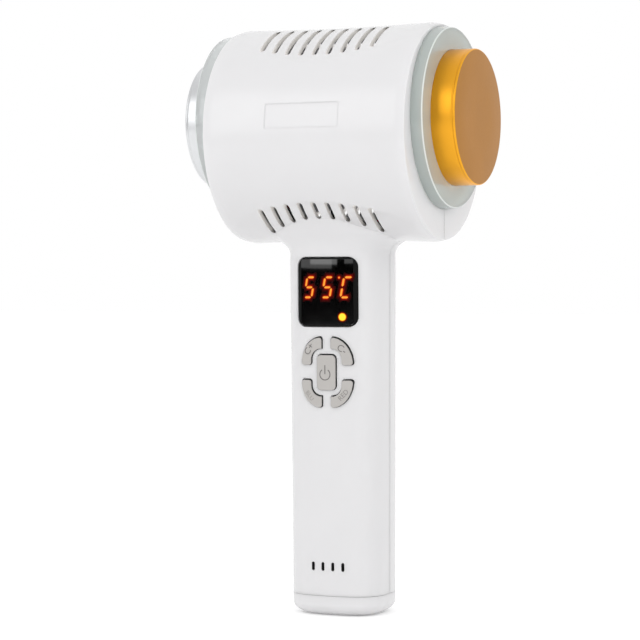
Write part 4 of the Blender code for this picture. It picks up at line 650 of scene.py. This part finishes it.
def housing():
    skin = boolean(barrel_skin(), grip_skin(), 'UNION')
    core = housing_core()
    boolean(core, vents(), 'UNION')
    boolean(core, end_holes(), 'UNION')
    boolean(skin, core)
    front = new_object("front_shell_fine", skin.data.copy())
    rear = new_object("rear_shell_fine", skin.data.copy())
    bpy.data.objects.remove(skin, do_unlink=True)
    halved(front, -1)
    pocket = rounded_rectangle(LENS_WIDTH + 2 * FIT, LENS_HEIGHT + 2 * FIT, LENS_CORNER + FIT, LENS_Z)
    far = -GRIP_HALF_DEPTH - OVERRUN
    boolean(front, slab("pocket", pocket, far, FIT - lens_back() - far))
    for step in PLATE_STEPS:
        boolean(front, plate_cutter(*step))
    boolean(front, front_openings())
    halved(rear, 1)
    wells = [rod(f"well_{i}", (x, SCREW_SEAT_Y, z), (0, 1, 0), depth + OVERRUN, SCREW_WELL_RADIUS)
             for i, (x, z, depth) in enumerate(screw_places())]
    boolean(rear, joined("wells", wells))
    holes = [rod(f"hole_{i}", (x, -OVERRUN, z), (0, 1, 0), SCREW_SEAT_Y + 2 * OVERRUN, SCREW_HOLE_RADIUS, 24)
             for i, (x, z, _) in enumerate(screw_places())]
    boolean(rear, joined("holes", holes))
    return shaded(front), shaded(rear)


def base_cap():
    levels = [(CAP_EDGE_HEIGHT * (1 - math.cos(a)), CAP_EDGE_INSET * (1 - math.sin(a)))
              for a in quarter_turn(14)]
    levels.append((CAP_TOP_Z, 0.0))
    cap = loft("base_cap_fine", [[(x, y, z) for x, y, _ in grip_section(GRIP_FOOT_Z, wall)]
                                 for z, wall in levels])
    outer = GRIP_WALL + FIT
    for step, wall, low, high in (
            ('UNION', outer, CAP_SPIGOT_FOOT_Z, CAP_SPIGOT_TOP_Z),
            ('DIFFERENCE', outer + CAP_SPIGOT_WALL, CAP_WALL, CAP_SPIGOT_TOP_Z + OVERRUN)):
        boolean(cap, loft("spigot", [[(x, y, z) for x, y, _ in grip_section(GRIP_FOOT_Z, wall, 12)]
                                     for z in (low, high)]), step)
    boolean(cap, rod("well_wall", (0, 0, CAP_WALL / 2), (0, 0, 1), SOCKET_WELL_DEPTH - CAP_WALL / 2,
                     SOCKET_WELL_RADIUS + SOCKET_WELL_WALL, 64), 'UNION')
    boolean(cap, rod("well", (0, 0, -OVERRUN), (0, 0, 1), SOCKET_WELL_DEPTH + 2 * OVERRUN,
                     SOCKET_WELL_RADIUS, 64))
    return shaded(cap)


# Heads and light rings

def head(name, sign, radius, face_thickness, inner):
    """A cup with a grooved rim and a flange; inner ends its profile at the axis."""
    profile = [(0, HEAD_FACE_X), (radius / 2, HEAD_FACE_X)]
    profile += rounded_corner(radius, HEAD_FACE_X, HEAD_EDGE)
    groove = HEAD_FACE_X - HEAD_EDGE - GROOVE_WIDTH
    profile += [(radius, groove + GROOVE_WIDTH / 2), (radius - GROOVE_DEPTH, groove),
                (radius, groove - GROOVE_WIDTH / 2), (radius, groove - GROOVE_WIDTH)]
    profile += [(radius, HEAD_FLANGE_OUTER_X), (HEAD_FLANGE_RADIUS, HEAD_FLANGE_OUTER_X),
                (HEAD_FLANGE_RADIUS, HEAD_FLANGE_INNER_X), (radius - HEAD_WALL, HEAD_FLANGE_INNER_X),
                (radius - HEAD_WALL, HEAD_FACE_X - face_thickness)]
    return shaded(turned(name, profile + inner, (0, 0, HEAD_AXIS_Z), (sign, 0, 0)), 40)


def light_ring(name, sign, bore_radius):
    """A clear cup with a flange that sits inside the barrel's end."""
    inside_radius = RING_RADIUS - RING_WALL
    root = FLANGE_OUTER_X + RING_FLANGE_GAP
    profile = [(bore_radius, RING_FACE_X)]
    profile += rounded_corner(RING_RADIUS - RING_DRAFT, RING_FACE_X, RING_EDGE)
    profile += [(RING_RADIUS, HOT_END_X), (RING_RADIUS, root), (inside_radius, root),
                (inside_radius, RING_FACE_X - RING_WALL), (bore_radius, RING_FACE_X - RING_WALL)]
    ring = turned(name, profile, (0, 0, HEAD_AXIS_Z), (sign, 0, 0), True)
    flange = rod("flange", (sign * FLANGE_INNER_X, 0, BARREL_AXIS_Z), (sign, 0, 0), RING_FLANGE_THICKNESS,
                 CARRIER_RADIUS, 96)
    bore = rod("bore", (sign * (FLANGE_INNER_X - OVERRUN), 0, HEAD_AXIS_Z), (sign, 0, 0),
               RING_FLANGE_THICKNESS + 2 * OVERRUN, inside_radius - FIT / 2, ROUND)
    boolean(flange, bore)
    return shaded(joined(name, (ring, flange)), 40)


# Materials

GRAIN_RELIEF = 0.0001
LINE_RELIEF = 0.00002


def set_inputs(node, **values):
    """Sets inputs by name, with an underscore for each space."""
    for key, value in values.items():
        node.inputs[key.replace("_", " ")].default_value = value
    return node


def add_node(tree, kind, **values):
    return set_inputs(tree.nodes.new(kind), **values)


def finish(name, colour, roughness, metallic=0.0, spread=0.02, blotch=60, rough_spread=0.05,
           grain=900, bump=0.0, **sockets):
    """A shader whose colour, gloss and fine grain vary over the surface by noise."""
    made = bpy.data.materials.new(name)
    made.use_nodes = True
    made.diffuse_color = (*colour, 1)
    tree, links = made.node_tree, made.node_tree.links
    shader = set_inputs(tree.nodes["Principled BSDF"], Metallic=metallic, **sockets)
    place = add_node(tree, "ShaderNodeTexCoord")
    broad = add_node(tree, "ShaderNodeTexNoise", Scale=blotch, Detail=3)
    links.new(place.outputs["Object"], broad.inputs["Vector"])
    tint = add_node(tree, "ShaderNodeValToRGB")
    low, high = tint.color_ramp.elements
    low.color = (*[c * (1 - spread) for c in colour], 1)
    high.color = (*[min(c * (1 + spread), 1) for c in colour], 1)
    low.position, high.position = 0.3, 0.7
    links.new(broad.outputs["Fac"], tint.inputs["Fac"])
    links.new(tint.outputs["Color"], shader.inputs["Base Color"])
    fine = add_node(tree, "ShaderNodeTexNoise", Scale=grain, Detail=4)
    links.new(place.outputs["Object"], fine.inputs["Vector"])
    gloss = add_node(tree, "ShaderNodeMapRange", To_Min=max(roughness - rough_spread, 0),
                     To_Max=roughness + rough_spread)
    links.new(fine.outputs["Fac"], gloss.inputs["Value"])
    links.new(gloss.outputs["Result"], shader.inputs["Roughness"])
    if bump:
        relieved(tree, fine, GRAIN_RELIEF, bump)
    return made


def relieved(tree, noise, distance, strength):
    """Bumps from a noise on the material's surface."""
    relief = add_node(tree, "ShaderNodeBump", Distance=distance, Strength=strength)
    tree.links.new(noise.outputs["Fac"], relief.inputs["Height"])
    tree.links.new(relief.outputs["Normal"], tree.nodes["Principled BSDF"].inputs["Normal"])


def glowing(name, colour, strength):
    """A light behind dark glossy glass."""
    made = finish(name, (0.006, 0.004, 0.004), 0.5, spread=0.1, grain=200, Specular_IOR_Level=0.0)
    set_inputs(made.node_tree.nodes["Principled BSDF"], Emission_Color=(*colour, 1),
               Emission_Strength=strength)
    return made


def turned_metal(name, colour, roughness, lines):
    """Metal with faint tool lines round the heads' axis, which lies along X."""
    made = finish(name, colour, roughness, 1.0, spread=0.03, blotch=90, rough_spread=0.04, grain=1500)
    tree, links = made.node_tree, made.node_tree.links
    place = add_node(tree, "ShaderNodeTexCoord")
    shift = add_node(tree, "ShaderNodeVectorMath")
    shift.operation = 'SUBTRACT'
    shift.inputs[1].default_value = (0, 0, HEAD_AXIS_Z)
    links.new(place.outputs["Object"], shift.inputs[0])
    split = add_node(tree, "ShaderNodeSeparateXYZ")
    links.new(shift.outputs["Vector"], split.inputs["Vector"])
    flat = add_node(tree, "ShaderNodeCombineXYZ")
    links.new(split.outputs["Y"], flat.inputs["Y"])
    links.new(split.outputs["Z"], flat.inputs["Z"])
    reach = add_node(tree, "ShaderNodeVectorMath")
    reach.operation = 'LENGTH'
    links.new(flat.outputs["Vector"], reach.inputs[0])
    spot = add_node(tree, "ShaderNodeCombineXYZ")
    links.new(split.outputs["X"], spot.inputs["X"])
    links.new(reach.outputs["Value"], spot.inputs["Y"])
    noise = add_node(tree, "ShaderNodeTexNoise", Scale=lines, Detail=3)
    links.new(spot.outputs["Vector"], noise.inputs["Vector"])
    relieved(tree, noise, LINE_RELIEF, 0.3)
    return made


WHITE = finish("white_plastic", (0.80, 0.795, 0.805), 0.22, spread=0.006, rough_spread=0.03, grain=350,
               bump=0.04, Subsurface_Weight=0.5, Subsurface_Radius=(1, 1, 1), Subsurface_Scale=0.003)
KEY = finish("grey_rubber", (0.50, 0.48, 0.46), 0.42, spread=0.02, grain=2500, bump=0.35)
# Near black painted shade, not a colour of the parts: for the keys' side walls and flanges, the shells'
# parting faces and the walls of the sound slots.
PAINTED_SHADE = finish("painted_shade_black", (0.04, 0.04, 0.04), 0.6, grain=900)
GOLD = turned_metal("gold_side", (0.86, 0.40, 0.028), 0.36, 2500)
# Darker copy of the gold for the flat face: painted shade, as the face is the same metal as the side.
GOLD_PAINTED_SHADE = turned_metal("gold_face_painted_shade", (0.44, 0.185, 0.014), 0.38, 1800)
SILVER = turned_metal("silver_metal", (0.68, 0.69, 0.70), 0.32, 2500)
# Pale, opaque colour for the rings' rounded front edges: a painted highlight, the white line that light draws
# along the edge.
RING_PAINTED_HIGHLIGHT = finish("ring_edge_painted_highlight", (0.74, 0.78, 0.76), 0.12, spread=0.02)
CLEAR = finish("clear_plastic", (0.82, 0.885, 0.86), 0.10, spread=0.03, rough_spread=0.04, grain=300,
               Transmission_Weight=0.55, IOR=1.47)
# Paler copy of the clear plastic for the cold ring, which paints light onto it.
CLEAR_PAINTED_LIGHT = finish("clear_plastic_painted_light", (0.96, 0.985, 0.985), 0.10, spread=0.01, rough_spread=0.04,
                    grain=300, Transmission_Weight=0.55, IOR=1.47)
# Paler, warmer colour for the vent slots' walls: painted light that stands in for light falling into the
# slots; the walls are the same white plastic.
VENT_PAINTED_LIGHT = finish("vent_wall", (0.98, 0.955, 0.925), 0.35, spread=0.006, grain=350, bump=0.04)
LENS = finish("black_gloss", (0.0008, 0.0007, 0.0008), 0.06, spread=0.1, rough_spread=0.01, grain=200,
              Specular_IOR_Level=1.0)
BORDER = finish("black_border", (0.003, 0.003, 0.003), 0.35, spread=0.1, Specular_IOR_Level=0.12)
MARK = finish("mark_grey", (0.18, 0.17, 0.165), 0.5, spread=0.03)
LEGEND = finish("legend_grey", (0.27, 0.255, 0.245), 0.5, spread=0.03)
FAINT = finish("legend_pale", (0.33, 0.315, 0.30), 0.5, spread=0.03)
LAMP = glowing("lamp_glow", (1.0, 0.83, 0.05), 1.1)
INNER = {
    "dark_plastic": finish("dark_plastic_fine", (0.045, 0.045, 0.05), 0.5, spread=0.1, bump=0.2),
    "green_board": finish("board_fine", (0.03, 0.16, 0.08), 0.4, spread=0.15, blotch=400, bump=0.2),
    "bare_metal": finish("steel_fine", (0.60, 0.60, 0.61), 0.32, 1.0, spread=0.05, bump=0.1),
    "sink_metal": finish("sink_fine", (0.70, 0.71, 0.72), 0.38, 1.0, spread=0.05, bump=0.1),
    "cream_plastic": finish("cream_fine", (0.72, 0.71, 0.67), 0.5, spread=0.03, bump=0.1),
    "ceramic": finish("ceramic_fine", (0.80, 0.80, 0.78), 0.6, spread=0.03, bump=0.2),
    "grey_foam": finish("foam_fine", (0.30, 0.30, 0.31), 0.95, spread=0.2, blotch=900, bump=1.0),
    "copper_wire": finish("copper_fine", (0.72, 0.36, 0.20), 0.35, 1.0, spread=0.1, bump=0.2),
    "red_lead": finish("red_lead_fine", (0.50, 0.03, 0.03), 0.4, spread=0.05, bump=0.1),
    "lamp": LAMP,
    "white_shell": WHITE,
    "grey_key": KEY,
    "gold_head": GOLD,
    "silver_head": SILVER,
    "clear_ring": CLEAR,
    "black_lens": LENS,
}


def dressed(item, look, body="housing", nodes=()):
    """Gives a piece its look, body and slot, and says which nodes it replaces."""
    item.data.materials.clear()
    item.data.materials.append(look)
    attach(item, body)
    if nodes:
        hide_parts(*nodes)
    return item


def paint(item, look, rule):
    """Gives the faces that meet a rule a further material."""
    item.data.materials.append(look)
    for face in item.data.polygons:
        if rule(face):
            face.material_index = len(item.data.materials) - 1


# Display

LENS_EDGE = 0.00030
LENS_BULGE = 0.0052
LENS_FALL = 0.00013
GLOSS_WIDTH = 0.0196
GLOSS_HEIGHT = 0.0225
GLOSS_CORNER = 0.0012
LENS_SIDE_Y = -0.0125
LENS_GRID = 0.0006
MARK_GRID = 0.0012
DIGIT_STARTS = (-0.00905, -0.00215, 0.0048)
DIGIT_BOTTOM = 0.1099
DIGIT_HEIGHT = 0.0079
DIGIT_WIDTH = 0.00395
DIGIT_STROKE = 0.0010
DIGIT_GAP_SHARE = 0.30
DIGIT_SLANT = 0.19
DOT_PLACE = (0.00492, 0.1172)
DOT_SHARE = 0.85
GLOW_BACK_Y = -0.0132
GLOW_EDGE = 0.000002
STATUS_PLACE = (0.00595, 0.10366)
# Name, colour, strength, share of the stroke or radius, and lift of each layer
GLOW_LAYERS = (("glow_haze", (1.0, 0.0, 0.0), 0.025, 3.2, 0.00003),
               ("glow_far", (1.0, 0.004, 0.0), 0.075, 2.2, 0.00006),
               ("glow_near", (1.0, 0.01, 0.0), 0.19, 1.6, 0.00009),
               ("glow_edge", (1.0, 0.06, 0.004), 0.75, 1.08, 0.00012),
               ("glow_core", (1.0, 0.40, 0.045), 1.05, 0.60, 0.00015))
STATUS_LAYERS = (("status_haze", (1.0, 0.01, 0.0), 0.06, 0.00185, 0.00003),
                 ("status_edge", (1.0, 0.20, 0.005), 0.90, 0.00144, 0.00006),
                 ("status_core", (1.0, 0.80, 0.05), 1.1, 0.00120, 0.00009))


def lens_front(x, z):
    """The lens falls back towards its top edge."""
    near = min(max((z - LENS_Z - LENS_HEIGHT / 2 + LENS_BULGE) / LENS_BULGE, 0), 1)
    return LENS_FALL * near ** 2 - grip_depth(x, z)


def display():
    """Glossy lens with a dull black border."""
    outline = stepped(rounded_rectangle(LENS_WIDTH, LENS_HEIGHT, LENS_CORNER, LENS_Z), 24)
    gloss = stepped(rounded_rectangle(GLOSS_WIDTH, GLOSS_HEIGHT, GLOSS_CORNER, LENS_Z), 24)
    shape = bmesh.new()
    rings = [[shape.verts.new((x, -lens_back(), z)) for x, z in outline]]
    rings += edge_rings(shape, outline, lens_front, LENS_EDGE, 5)[0]
    rings.append([shape.verts.new((x, lens_front(x, z), z)) for x, z in gloss])
    lens = fronted("display_lens_fine", shape, rings, gloss, lens_front, LENS_GRID)
    dressed(shaded(lens, 40), LENS, nodes=("display_lens",))
    paint(lens, BORDER, lambda face: face.center.y > LENS_SIDE_Y or max(
        abs(face.center.x) - GLOSS_WIDTH / 2, abs(face.center.z - LENS_Z) - GLOSS_HEIGHT / 2) > 0)
    shape = bmesh.new()
    shape.from_mesh(lens.data)
    for edge in shape.edges:
        if len({face.material_index for face in edge.link_faces}) > 1:
            edge.smooth = False
    shape.to_mesh(lens.data)
    shape.free()


def segment(a, b, stroke):
    """Bar with pointed ends between two points of a glyph."""
    a, b = Vector(a), Vector(b)
    along = (b - a).normalized()
    across = Vector((-along.y, along.x)) * stroke / 2
    tip = along * min(stroke, DIGIT_STROKE) / 2
    spread = along * max(stroke - DIGIT_STROKE, 0) / 2
    gap = along * DIGIT_STROKE * DIGIT_GAP_SHARE
    a, b = a + gap - spread, b - gap + spread
    return [tuple(a), tuple(a + tip - across), tuple(b - tip - across), tuple(b), tuple(b - tip + across),
            tuple(a + tip + across)]


def plates(name, outlines, surface, lift, back, edge):
    """Thin plates that lie on a surface."""
    return joined(name, [cushion(f"{name}_{index}", outline, lambda x, z: surface(x, z) - lift, edge,
                                 MARK_GRID, ((outline, back),)) for index, outline in enumerate(outlines)])


def glow_layer(name, outlines, look, lift):
    dressed(shaded(plates(name, outlines, lens_front, lift, GLOW_BACK_Y, GLOW_EDGE)), look)


def digits():
    """Lit figures and the status lamp, each in layers that fade out into the dark lens."""
    right, top = DIGIT_WIDTH - DIGIT_STROKE, DIGIT_HEIGHT - DIGIT_STROKE
    middle = top / 2
    five = [((0, top), (right, top)), ((0, middle), (0, top)), ((0, middle), (right, middle)),
            ((right, 0), (right, middle)), ((0, 0), (right, 0))]
    c = [((0, top), (right, top)), ((0, middle), (0, top)), ((0, 0), (0, middle)), ((0, 0), (right, 0))]
    bars = [(start, a, b) for start, glyph in zip(DIGIT_STARTS, (five, five, c)) for a, b in glyph]
    half = DIGIT_STROKE / 2
    for name, colour, strength, share, lift in GLOW_LAYERS:
        outlines = [[(start + half + x + (z + half) * DIGIT_SLANT, DIGIT_BOTTOM + half + z)
                     for x, z in segment(a, b, DIGIT_STROKE * share)] for start, a, b in bars]
        outlines.append(arc_points(DOT_PLACE, half * DOT_SHARE * share, 0, math.pi * 15 / 8, 15))
        glow_layer(name, outlines, glowing(name, colour, strength), lift)
    for name, colour, strength, radius, lift in STATUS_LAYERS:
        dot = arc_points(STATUS_PLACE, radius, 0, math.pi * 31 / 16, 31)
        glow_layer(name, [dot], glowing(name, colour, strength), lift)


# Keys

LEGEND_HEIGHT = 0.00004
# Key, letters, size, place, turn in degrees and look
LEGENDS = (("warmer", "C+", 0.0034, (-0.0064, 0.0925), 57, MARK),
           ("cooler", "C-", 0.0034, (0.0059, 0.0926), -32, MARK),
           ("blue", "BLU", 0.0022, (-0.0063, 0.0764), -50, FAINT),
           ("red", "RED", 0.0024, (0.0064, 0.0768), 47, LEGEND))
MARK_CENTRE = (-0.00035, 0.08385)
MARK_RADIUS = 0.00190
MARK_STROKE = 0.00036
MARK_HALF_GAP = math.radians(35)
MARK_BAR_START = 0.0001
MARK_BAR_END = 0.0032
MARK_BACK_Y = -0.0148
MARK_EDGE = 0.00001


def key_face(x, z):
    return -grip_depth(x, z, -KEY_PROUD)


def legend_mesh(name, text, size, place, turn):
    """Raised letters that follow the key's face."""
    curve = bpy.data.curves.new(name, 'FONT')
    curve.body = text
    curve.size = size
    curve.align_x = 'CENTER'
    curve.align_y = 'CENTER'
    curve.resolution_u = 3
    curve.extrude = LEGEND_HEIGHT
    holder = new_object(name, curve)
    bpy.context.view_layer.update()
    mesh = bpy.data.meshes.new_from_object(holder.evaluated_get(bpy.context.evaluated_depsgraph_get()))
    bpy.data.objects.remove(holder, do_unlink=True)
    cosine, sine = math.cos(turn), math.sin(turn)
    for vertex in mesh.vertices:
        x, y, lift = vertex.co
        across = place[0] + x * cosine - y * sine
        up = place[1] + x * sine + y * cosine
        vertex.co = (across, key_face(across, up) - lift, up)
    return new_object(name, mesh)


def power_mark():
    """Ring with a gap at the top and a bar in it."""
    middle, half, turn = math.pi / 2, MARK_STROKE / 2, 2 * (math.pi - MARK_HALF_GAP)
    ring = arc_points(MARK_CENTRE, MARK_RADIUS + half, middle + MARK_HALF_GAP, turn, 28)
    ring += arc_points(MARK_CENTRE, MARK_RADIUS - half, middle - MARK_HALF_GAP, -turn, 28)
    corners = ((-half, MARK_BAR_START), (half, MARK_BAR_START), (half, MARK_BAR_END), (-half, MARK_BAR_END))
    bar = [(MARK_CENTRE[0] + x, MARK_CENTRE[1] + z) for x, z in corners]
    return plates("power_mark", (ring, bar), key_face, LEGEND_HEIGHT, MARK_BACK_Y, MARK_EDGE)


def keys():
    flange_front = -key_flange_front()
    flange_step = flange_front + KEY_FLANGE_THICKNESS / 2
    for name, outline in key_outlines().items():
        wide = inset(outline, -KEY_FLANGE)
        base = ((wide, flange_step), (wide, flange_front), (outline, flange_front))
        item = cushion(f"{name}_fine", outline, key_face, KEY_EDGE, KEY_GRID, base)
        dressed(shaded(item, 40), KEY, name.replace("_key", "_button"), (name,))
        # The keys' side walls and flanges get painted shade, which darkens the gaps round the keys.
        paint(item, PAINTED_SHADE,
              lambda face: abs(face.normal.y) < 0.1 or face.center.y > flange_front - NEAR)
    dressed(power_mark(), MARK, "power_button")
    for key, text, size, place, turn, look in LEGENDS:
        mark = legend_mesh(f"{key}_mark", text, size, place, math.radians(turn))
        dressed(mark, look, f"{key}_button")


# Putting it together

def is_painted_shade_wall(face):
    """The shells' parting faces and the walls of the sound slots, which get painted shade."""
    x, y, z = face.center
    parting = abs(y) < SEAM and abs(face.normal.y) > 0.9
    slot = (abs(x) < SLOT_FIELD_HALF_WIDTH and abs(z - SLOT_Z) < SLOT_FIELD_HALF_HEIGHT
            and SLOT_FIELD_BACK_Y > y > SLOT_LIP - grip_depth(x, z))
    return parting or slot


# Walls of the barrel's vents, which get painted light.
def is_vent_wall(face):
    x, y, z = face.center
    rise = z - BARREL_AXIS_Z
    return (abs(face.normal.x) > 0.15 and abs(x) < VENT_FIELD_HALF_WIDTH and abs(rise) > VENT_FIELD_START
            and math.hypot(y, rise) < BARREL_RADIUS - HOLLOW_DEPTH - NEAR)


def shells():
    for side, half in zip(("front", "rear"), housing()):
        dressed(half, WHITE, nodes=(f"{side}_shell",))
        # The parting faces and the sound slots' walls get painted shade.
        paint(half, PAINTED_SHADE, is_painted_shade_wall)
        # The vent walls get the paler colour, which is painted light.
        paint(half, VENT_PAINTED_LIGHT, is_vent_wall)
    dressed(base_cap(), WHITE, nodes=("base_cap",))


def heads():
    hot = head("hot_head_fine", 1, HEAD_RADIUS, HOT_FACE_THICKNESS, [(0, HEAD_FACE_X - HOT_FACE_THICKNESS)])
    dressed(hot, GOLD, nodes=("hot_head",))
    # The flat face gets the darker gold copy, which is painted shade.
    paint(hot, GOLD_PAINTED_SHADE, lambda face: face.normal.x > 0.98 and face.center.x > HEAD_FACE_X - NEAR)
    foot_radius = SUPPORT_INNER_RADIUS - FIT - GASKET_WALL - FIT
    core_radius = foot_radius * COLD_CORE_SHARE
    foot = CARRIER_OUTER_X + COLD_FOOT_STAND + FIT
    top = foot + COLD_FOOT_THICKNESS
    cold_back = [(core_radius, HEAD_FACE_X - COLD_FACE_THICKNESS), (core_radius, top), (foot_radius, top),
                 (foot_radius, foot), (0, foot)]
    cold = head("cold_head_fine", -1, COLD_HEAD_RADIUS, COLD_FACE_THICKNESS, cold_back)
    dressed(cold, SILVER, nodes=("cold_head",))


def light_rings():
    # The cold ring takes the paler copy of the clear plastic, which is painted light.
    for name, sign, radius, look in (("hot", 1, HEAD_RADIUS, CLEAR),
                                     ("cold", -1, COLD_HEAD_RADIUS, CLEAR_PAINTED_LIGHT)):
        ring = light_ring(f"{name}_ring_fine", sign, radius + RING_BORE_GAP)
        dressed(ring, look, nodes=(f"{name}_light_ring",))
        # The rounded front edges get the painted highlight.
        paint(ring, RING_PAINTED_HIGHLIGHT, lambda face: 0.2 < abs(face.normal.x) < 0.97
              and abs(face.center.x) > RING_FACE_X - RING_EDGE)


def inner_looks():
    """Fine materials for the inner solids, by the names of the plain ones."""
    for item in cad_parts.values():
        for slot in item.material_slots:
            word = slot.material.name.split(".")[0] if slot.material else ""
            slot.material = INNER.get(word, INNER["dark_plastic"])


# Camera, lamps and room

CAMERA_AZIMUTH = math.radians(23.4)
CAMERA_DISTANCE = 0.805
CAMERA_HEIGHT = 0.12375
CAMERA_YAW = math.radians(-0.58)
CAMERA_PITCH = math.radians(1.53)
CAMERA_ROLL = math.radians(-0.29)
CAMERA_LENS = 129.375
CAMERA_SENSOR = 36
LAMP_TARGET = (0, 0, 0.12)
# Name, azimuth, elevation, distance, size and power
SOFT_BOXES = (("key_light", -27, 22, 1.2, (0.45, 0.85), 1.7),
              ("right_light", 42, 22, 1.2, (0.55, 0.9), 2.0))
ROOM_FRONT = 0.82
ROOM_BACK = 0.86
FLOOR_SIZE = 8
FLOOR_GLOW = 0.27
CARD_DISTANCE = 1.5
CARD_SPLIT = -21.5
CARD_STEP = 5
CARD_STEPS = 13
CARD_FOOT = 0.034
# Each height with the step that it stops short of
CARD_TOPS = ((0, 0.14), (3, 0.26), (CARD_STEPS, 0.20))


def swung(first, second, angle):
    """Two crossing directions turned in their plane, the first towards the second."""
    return (first * math.cos(angle) + second * math.sin(angle),
            second * math.cos(angle) - first * math.sin(angle))


def camera():
    """The photograph's view: nearly level, from the hot side of the front."""
    side, front = math.sin(CAMERA_AZIMUTH), -math.cos(CAMERA_AZIMUTH)
    ahead, right, up = Vector((-side, -front, 0)), Vector((-front, side, 0)), Vector((0, 0, 1))
    ahead, right = swung(ahead, right, CAMERA_YAW)
    ahead, up = swung(ahead, up, -CAMERA_PITCH)
    right, up = swung(right, up, CAMERA_ROLL)
    lens = bpy.data.cameras.new("camera")
    lens.lens = CAMERA_LENS
    lens.sensor_width = CAMERA_SENSOR
    eye = bpy.data.objects.new("camera", lens)
    place = Vector((side * CAMERA_DISTANCE, front * CAMERA_DISTANCE, CAMERA_HEIGHT))
    eye.matrix_world = Matrix.Translation(place) @ Matrix((right, up, -ahead)).transposed().to_4x4()
    bpy.context.scene.collection.objects.link(eye)
    bpy.context.scene.camera = eye


def soft_box(name, azimuth, elevation, distance, size, power):
    """A wide lamp whose azimuth turns from -Y towards +X."""
    light = bpy.data.lights.new(name, 'AREA')
    light.shape = 'RECTANGLE'
    light.size, light.size_y = size
    light.energy = power
    item = bpy.data.objects.new(name, light)
    a, e = math.radians(azimuth), math.radians(elevation)
    way = Vector((math.sin(a) * math.cos(e), -math.cos(a) * math.cos(e), math.sin(e)))
    item.location = Vector(LAMP_TARGET) + way * distance
    item.rotation_euler = way.to_track_quat('Z', 'Y').to_euler()
    bpy.context.scene.collection.objects.link(item)


def seen_ray(tree):
    """1 for rays from the camera, a mirror-like surface or a clear one, and otherwise 0."""
    path = add_node(tree, "ShaderNodeLightPath")
    total = path.outputs["Is Camera Ray"]
    for word in ("Is Glossy Ray", "Is Transmission Ray"):
        either = add_node(tree, "ShaderNodeMath")
        either.operation = 'MAXIMUM'
        tree.links.new(total, either.inputs[0])
        tree.links.new(path.outputs[word], either.inputs[1])
        total = either.outputs["Value"]
    return total


def room():
    """White to the camera, bright behind for mirrors and clear parts, and nearly even for the rest."""
    scene = bpy.context.scene
    scene.view_settings.view_transform = 'Standard'
    world = bpy.data.worlds.new("studio")
    world.use_nodes = True
    scene.world = world
    tree, links = world.node_tree, world.node_tree.links
    back = set_inputs(tree.nodes["Background"], Color=(1, 1, 1, 1))
    place = add_node(tree, "ShaderNodeTexCoord")
    split = add_node(tree, "ShaderNodeSeparateXYZ")
    links.new(place.outputs["Generated"], split.inputs["Vector"])
    mirrored = add_node(tree, "ShaderNodeMix")
    for socket, rear in (("A", ROOM_BACK), ("B", 1.0)):
        level = add_node(tree, "ShaderNodeMapRange", From_Min=-0.5, From_Max=0.5, To_Min=ROOM_FRONT,
                         To_Max=rear)
        level.interpolation_type = 'SMOOTHSTEP'
        links.new(split.outputs["Y"], level.inputs["Value"])
        links.new(level.outputs["Result"], mirrored.inputs[socket])
    links.new(seen_ray(tree), mirrored.inputs["Factor"])
    path = add_node(tree, "ShaderNodeLightPath")
    backdrop = add_node(tree, "ShaderNodeMix", B=1.0)
    links.new(path.outputs["Is Camera Ray"], backdrop.inputs["Factor"])
    links.new(mirrored.outputs["Result"], backdrop.inputs["A"])
    links.new(backdrop.outputs["Result"], back.inputs["Strength"])


def pale_floor():
    """Pale floor that looks white and still takes the object's shadow."""
    bpy.ops.mesh.primitive_plane_add(size=FLOOR_SIZE, location=(0, 0, 0))
    floor = bpy.context.object
    floor.name = "floor"
    look = bpy.data.materials.new("floor_white")
    look.use_nodes = True
    tree = look.node_tree
    shader = set_inputs(tree.nodes["Principled BSDF"], Base_Color=(0.93, 0.93, 0.93, 1), Roughness=0.9,
                        Emission_Color=(1, 1, 1, 1))
    glow = add_node(tree, "ShaderNodeMath")
    glow.operation = 'MULTIPLY'
    glow.inputs[1].default_value = FLOOR_GLOW
    tree.links.new(seen_ray(tree), glow.inputs[0])
    tree.links.new(glow.outputs["Value"], shader.inputs["Emission Strength"])
    floor.data.materials.append(look)


def black_card():
    """Low bent black card in front, which only mirror-like surfaces see."""
    shape = bmesh.new()
    turns = [math.radians(CARD_SPLIT + CARD_STEP * step) for step in range(-CARD_STEPS, CARD_STEPS)]
    columns = [(CARD_DISTANCE * math.sin(a), -CARD_DISTANCE * math.cos(a)) for a in turns]
    for step, ((x1, y1), (x2, y2)) in enumerate(zip(columns, columns[1:]), -CARD_STEPS):
        top = next(height for limit, height in CARD_TOPS if step < limit)
        shape.faces.new([shape.verts.new(point) for point in (
            (x1, y1, CARD_FOOT), (x2, y2, CARD_FOOT), (x2, y2, top), (x1, y1, top))])
    item = from_bmesh("black_card", shape)
    item.data.materials.append(finish("card_black", (0.002, 0.002, 0.002), 0.9, Specular_IOR_Level=0.0))
    item.visible_camera = False
    item.visible_diffuse = False
    item.visible_transmission = False
    item.visible_shadow = False


camera()
inner_looks()
shells()
heads()
light_rings()
display()
digits()
keys()
room()
pale_floor()
for settings in SOFT_BOXES:
    soft_box(*settings)
black_card()
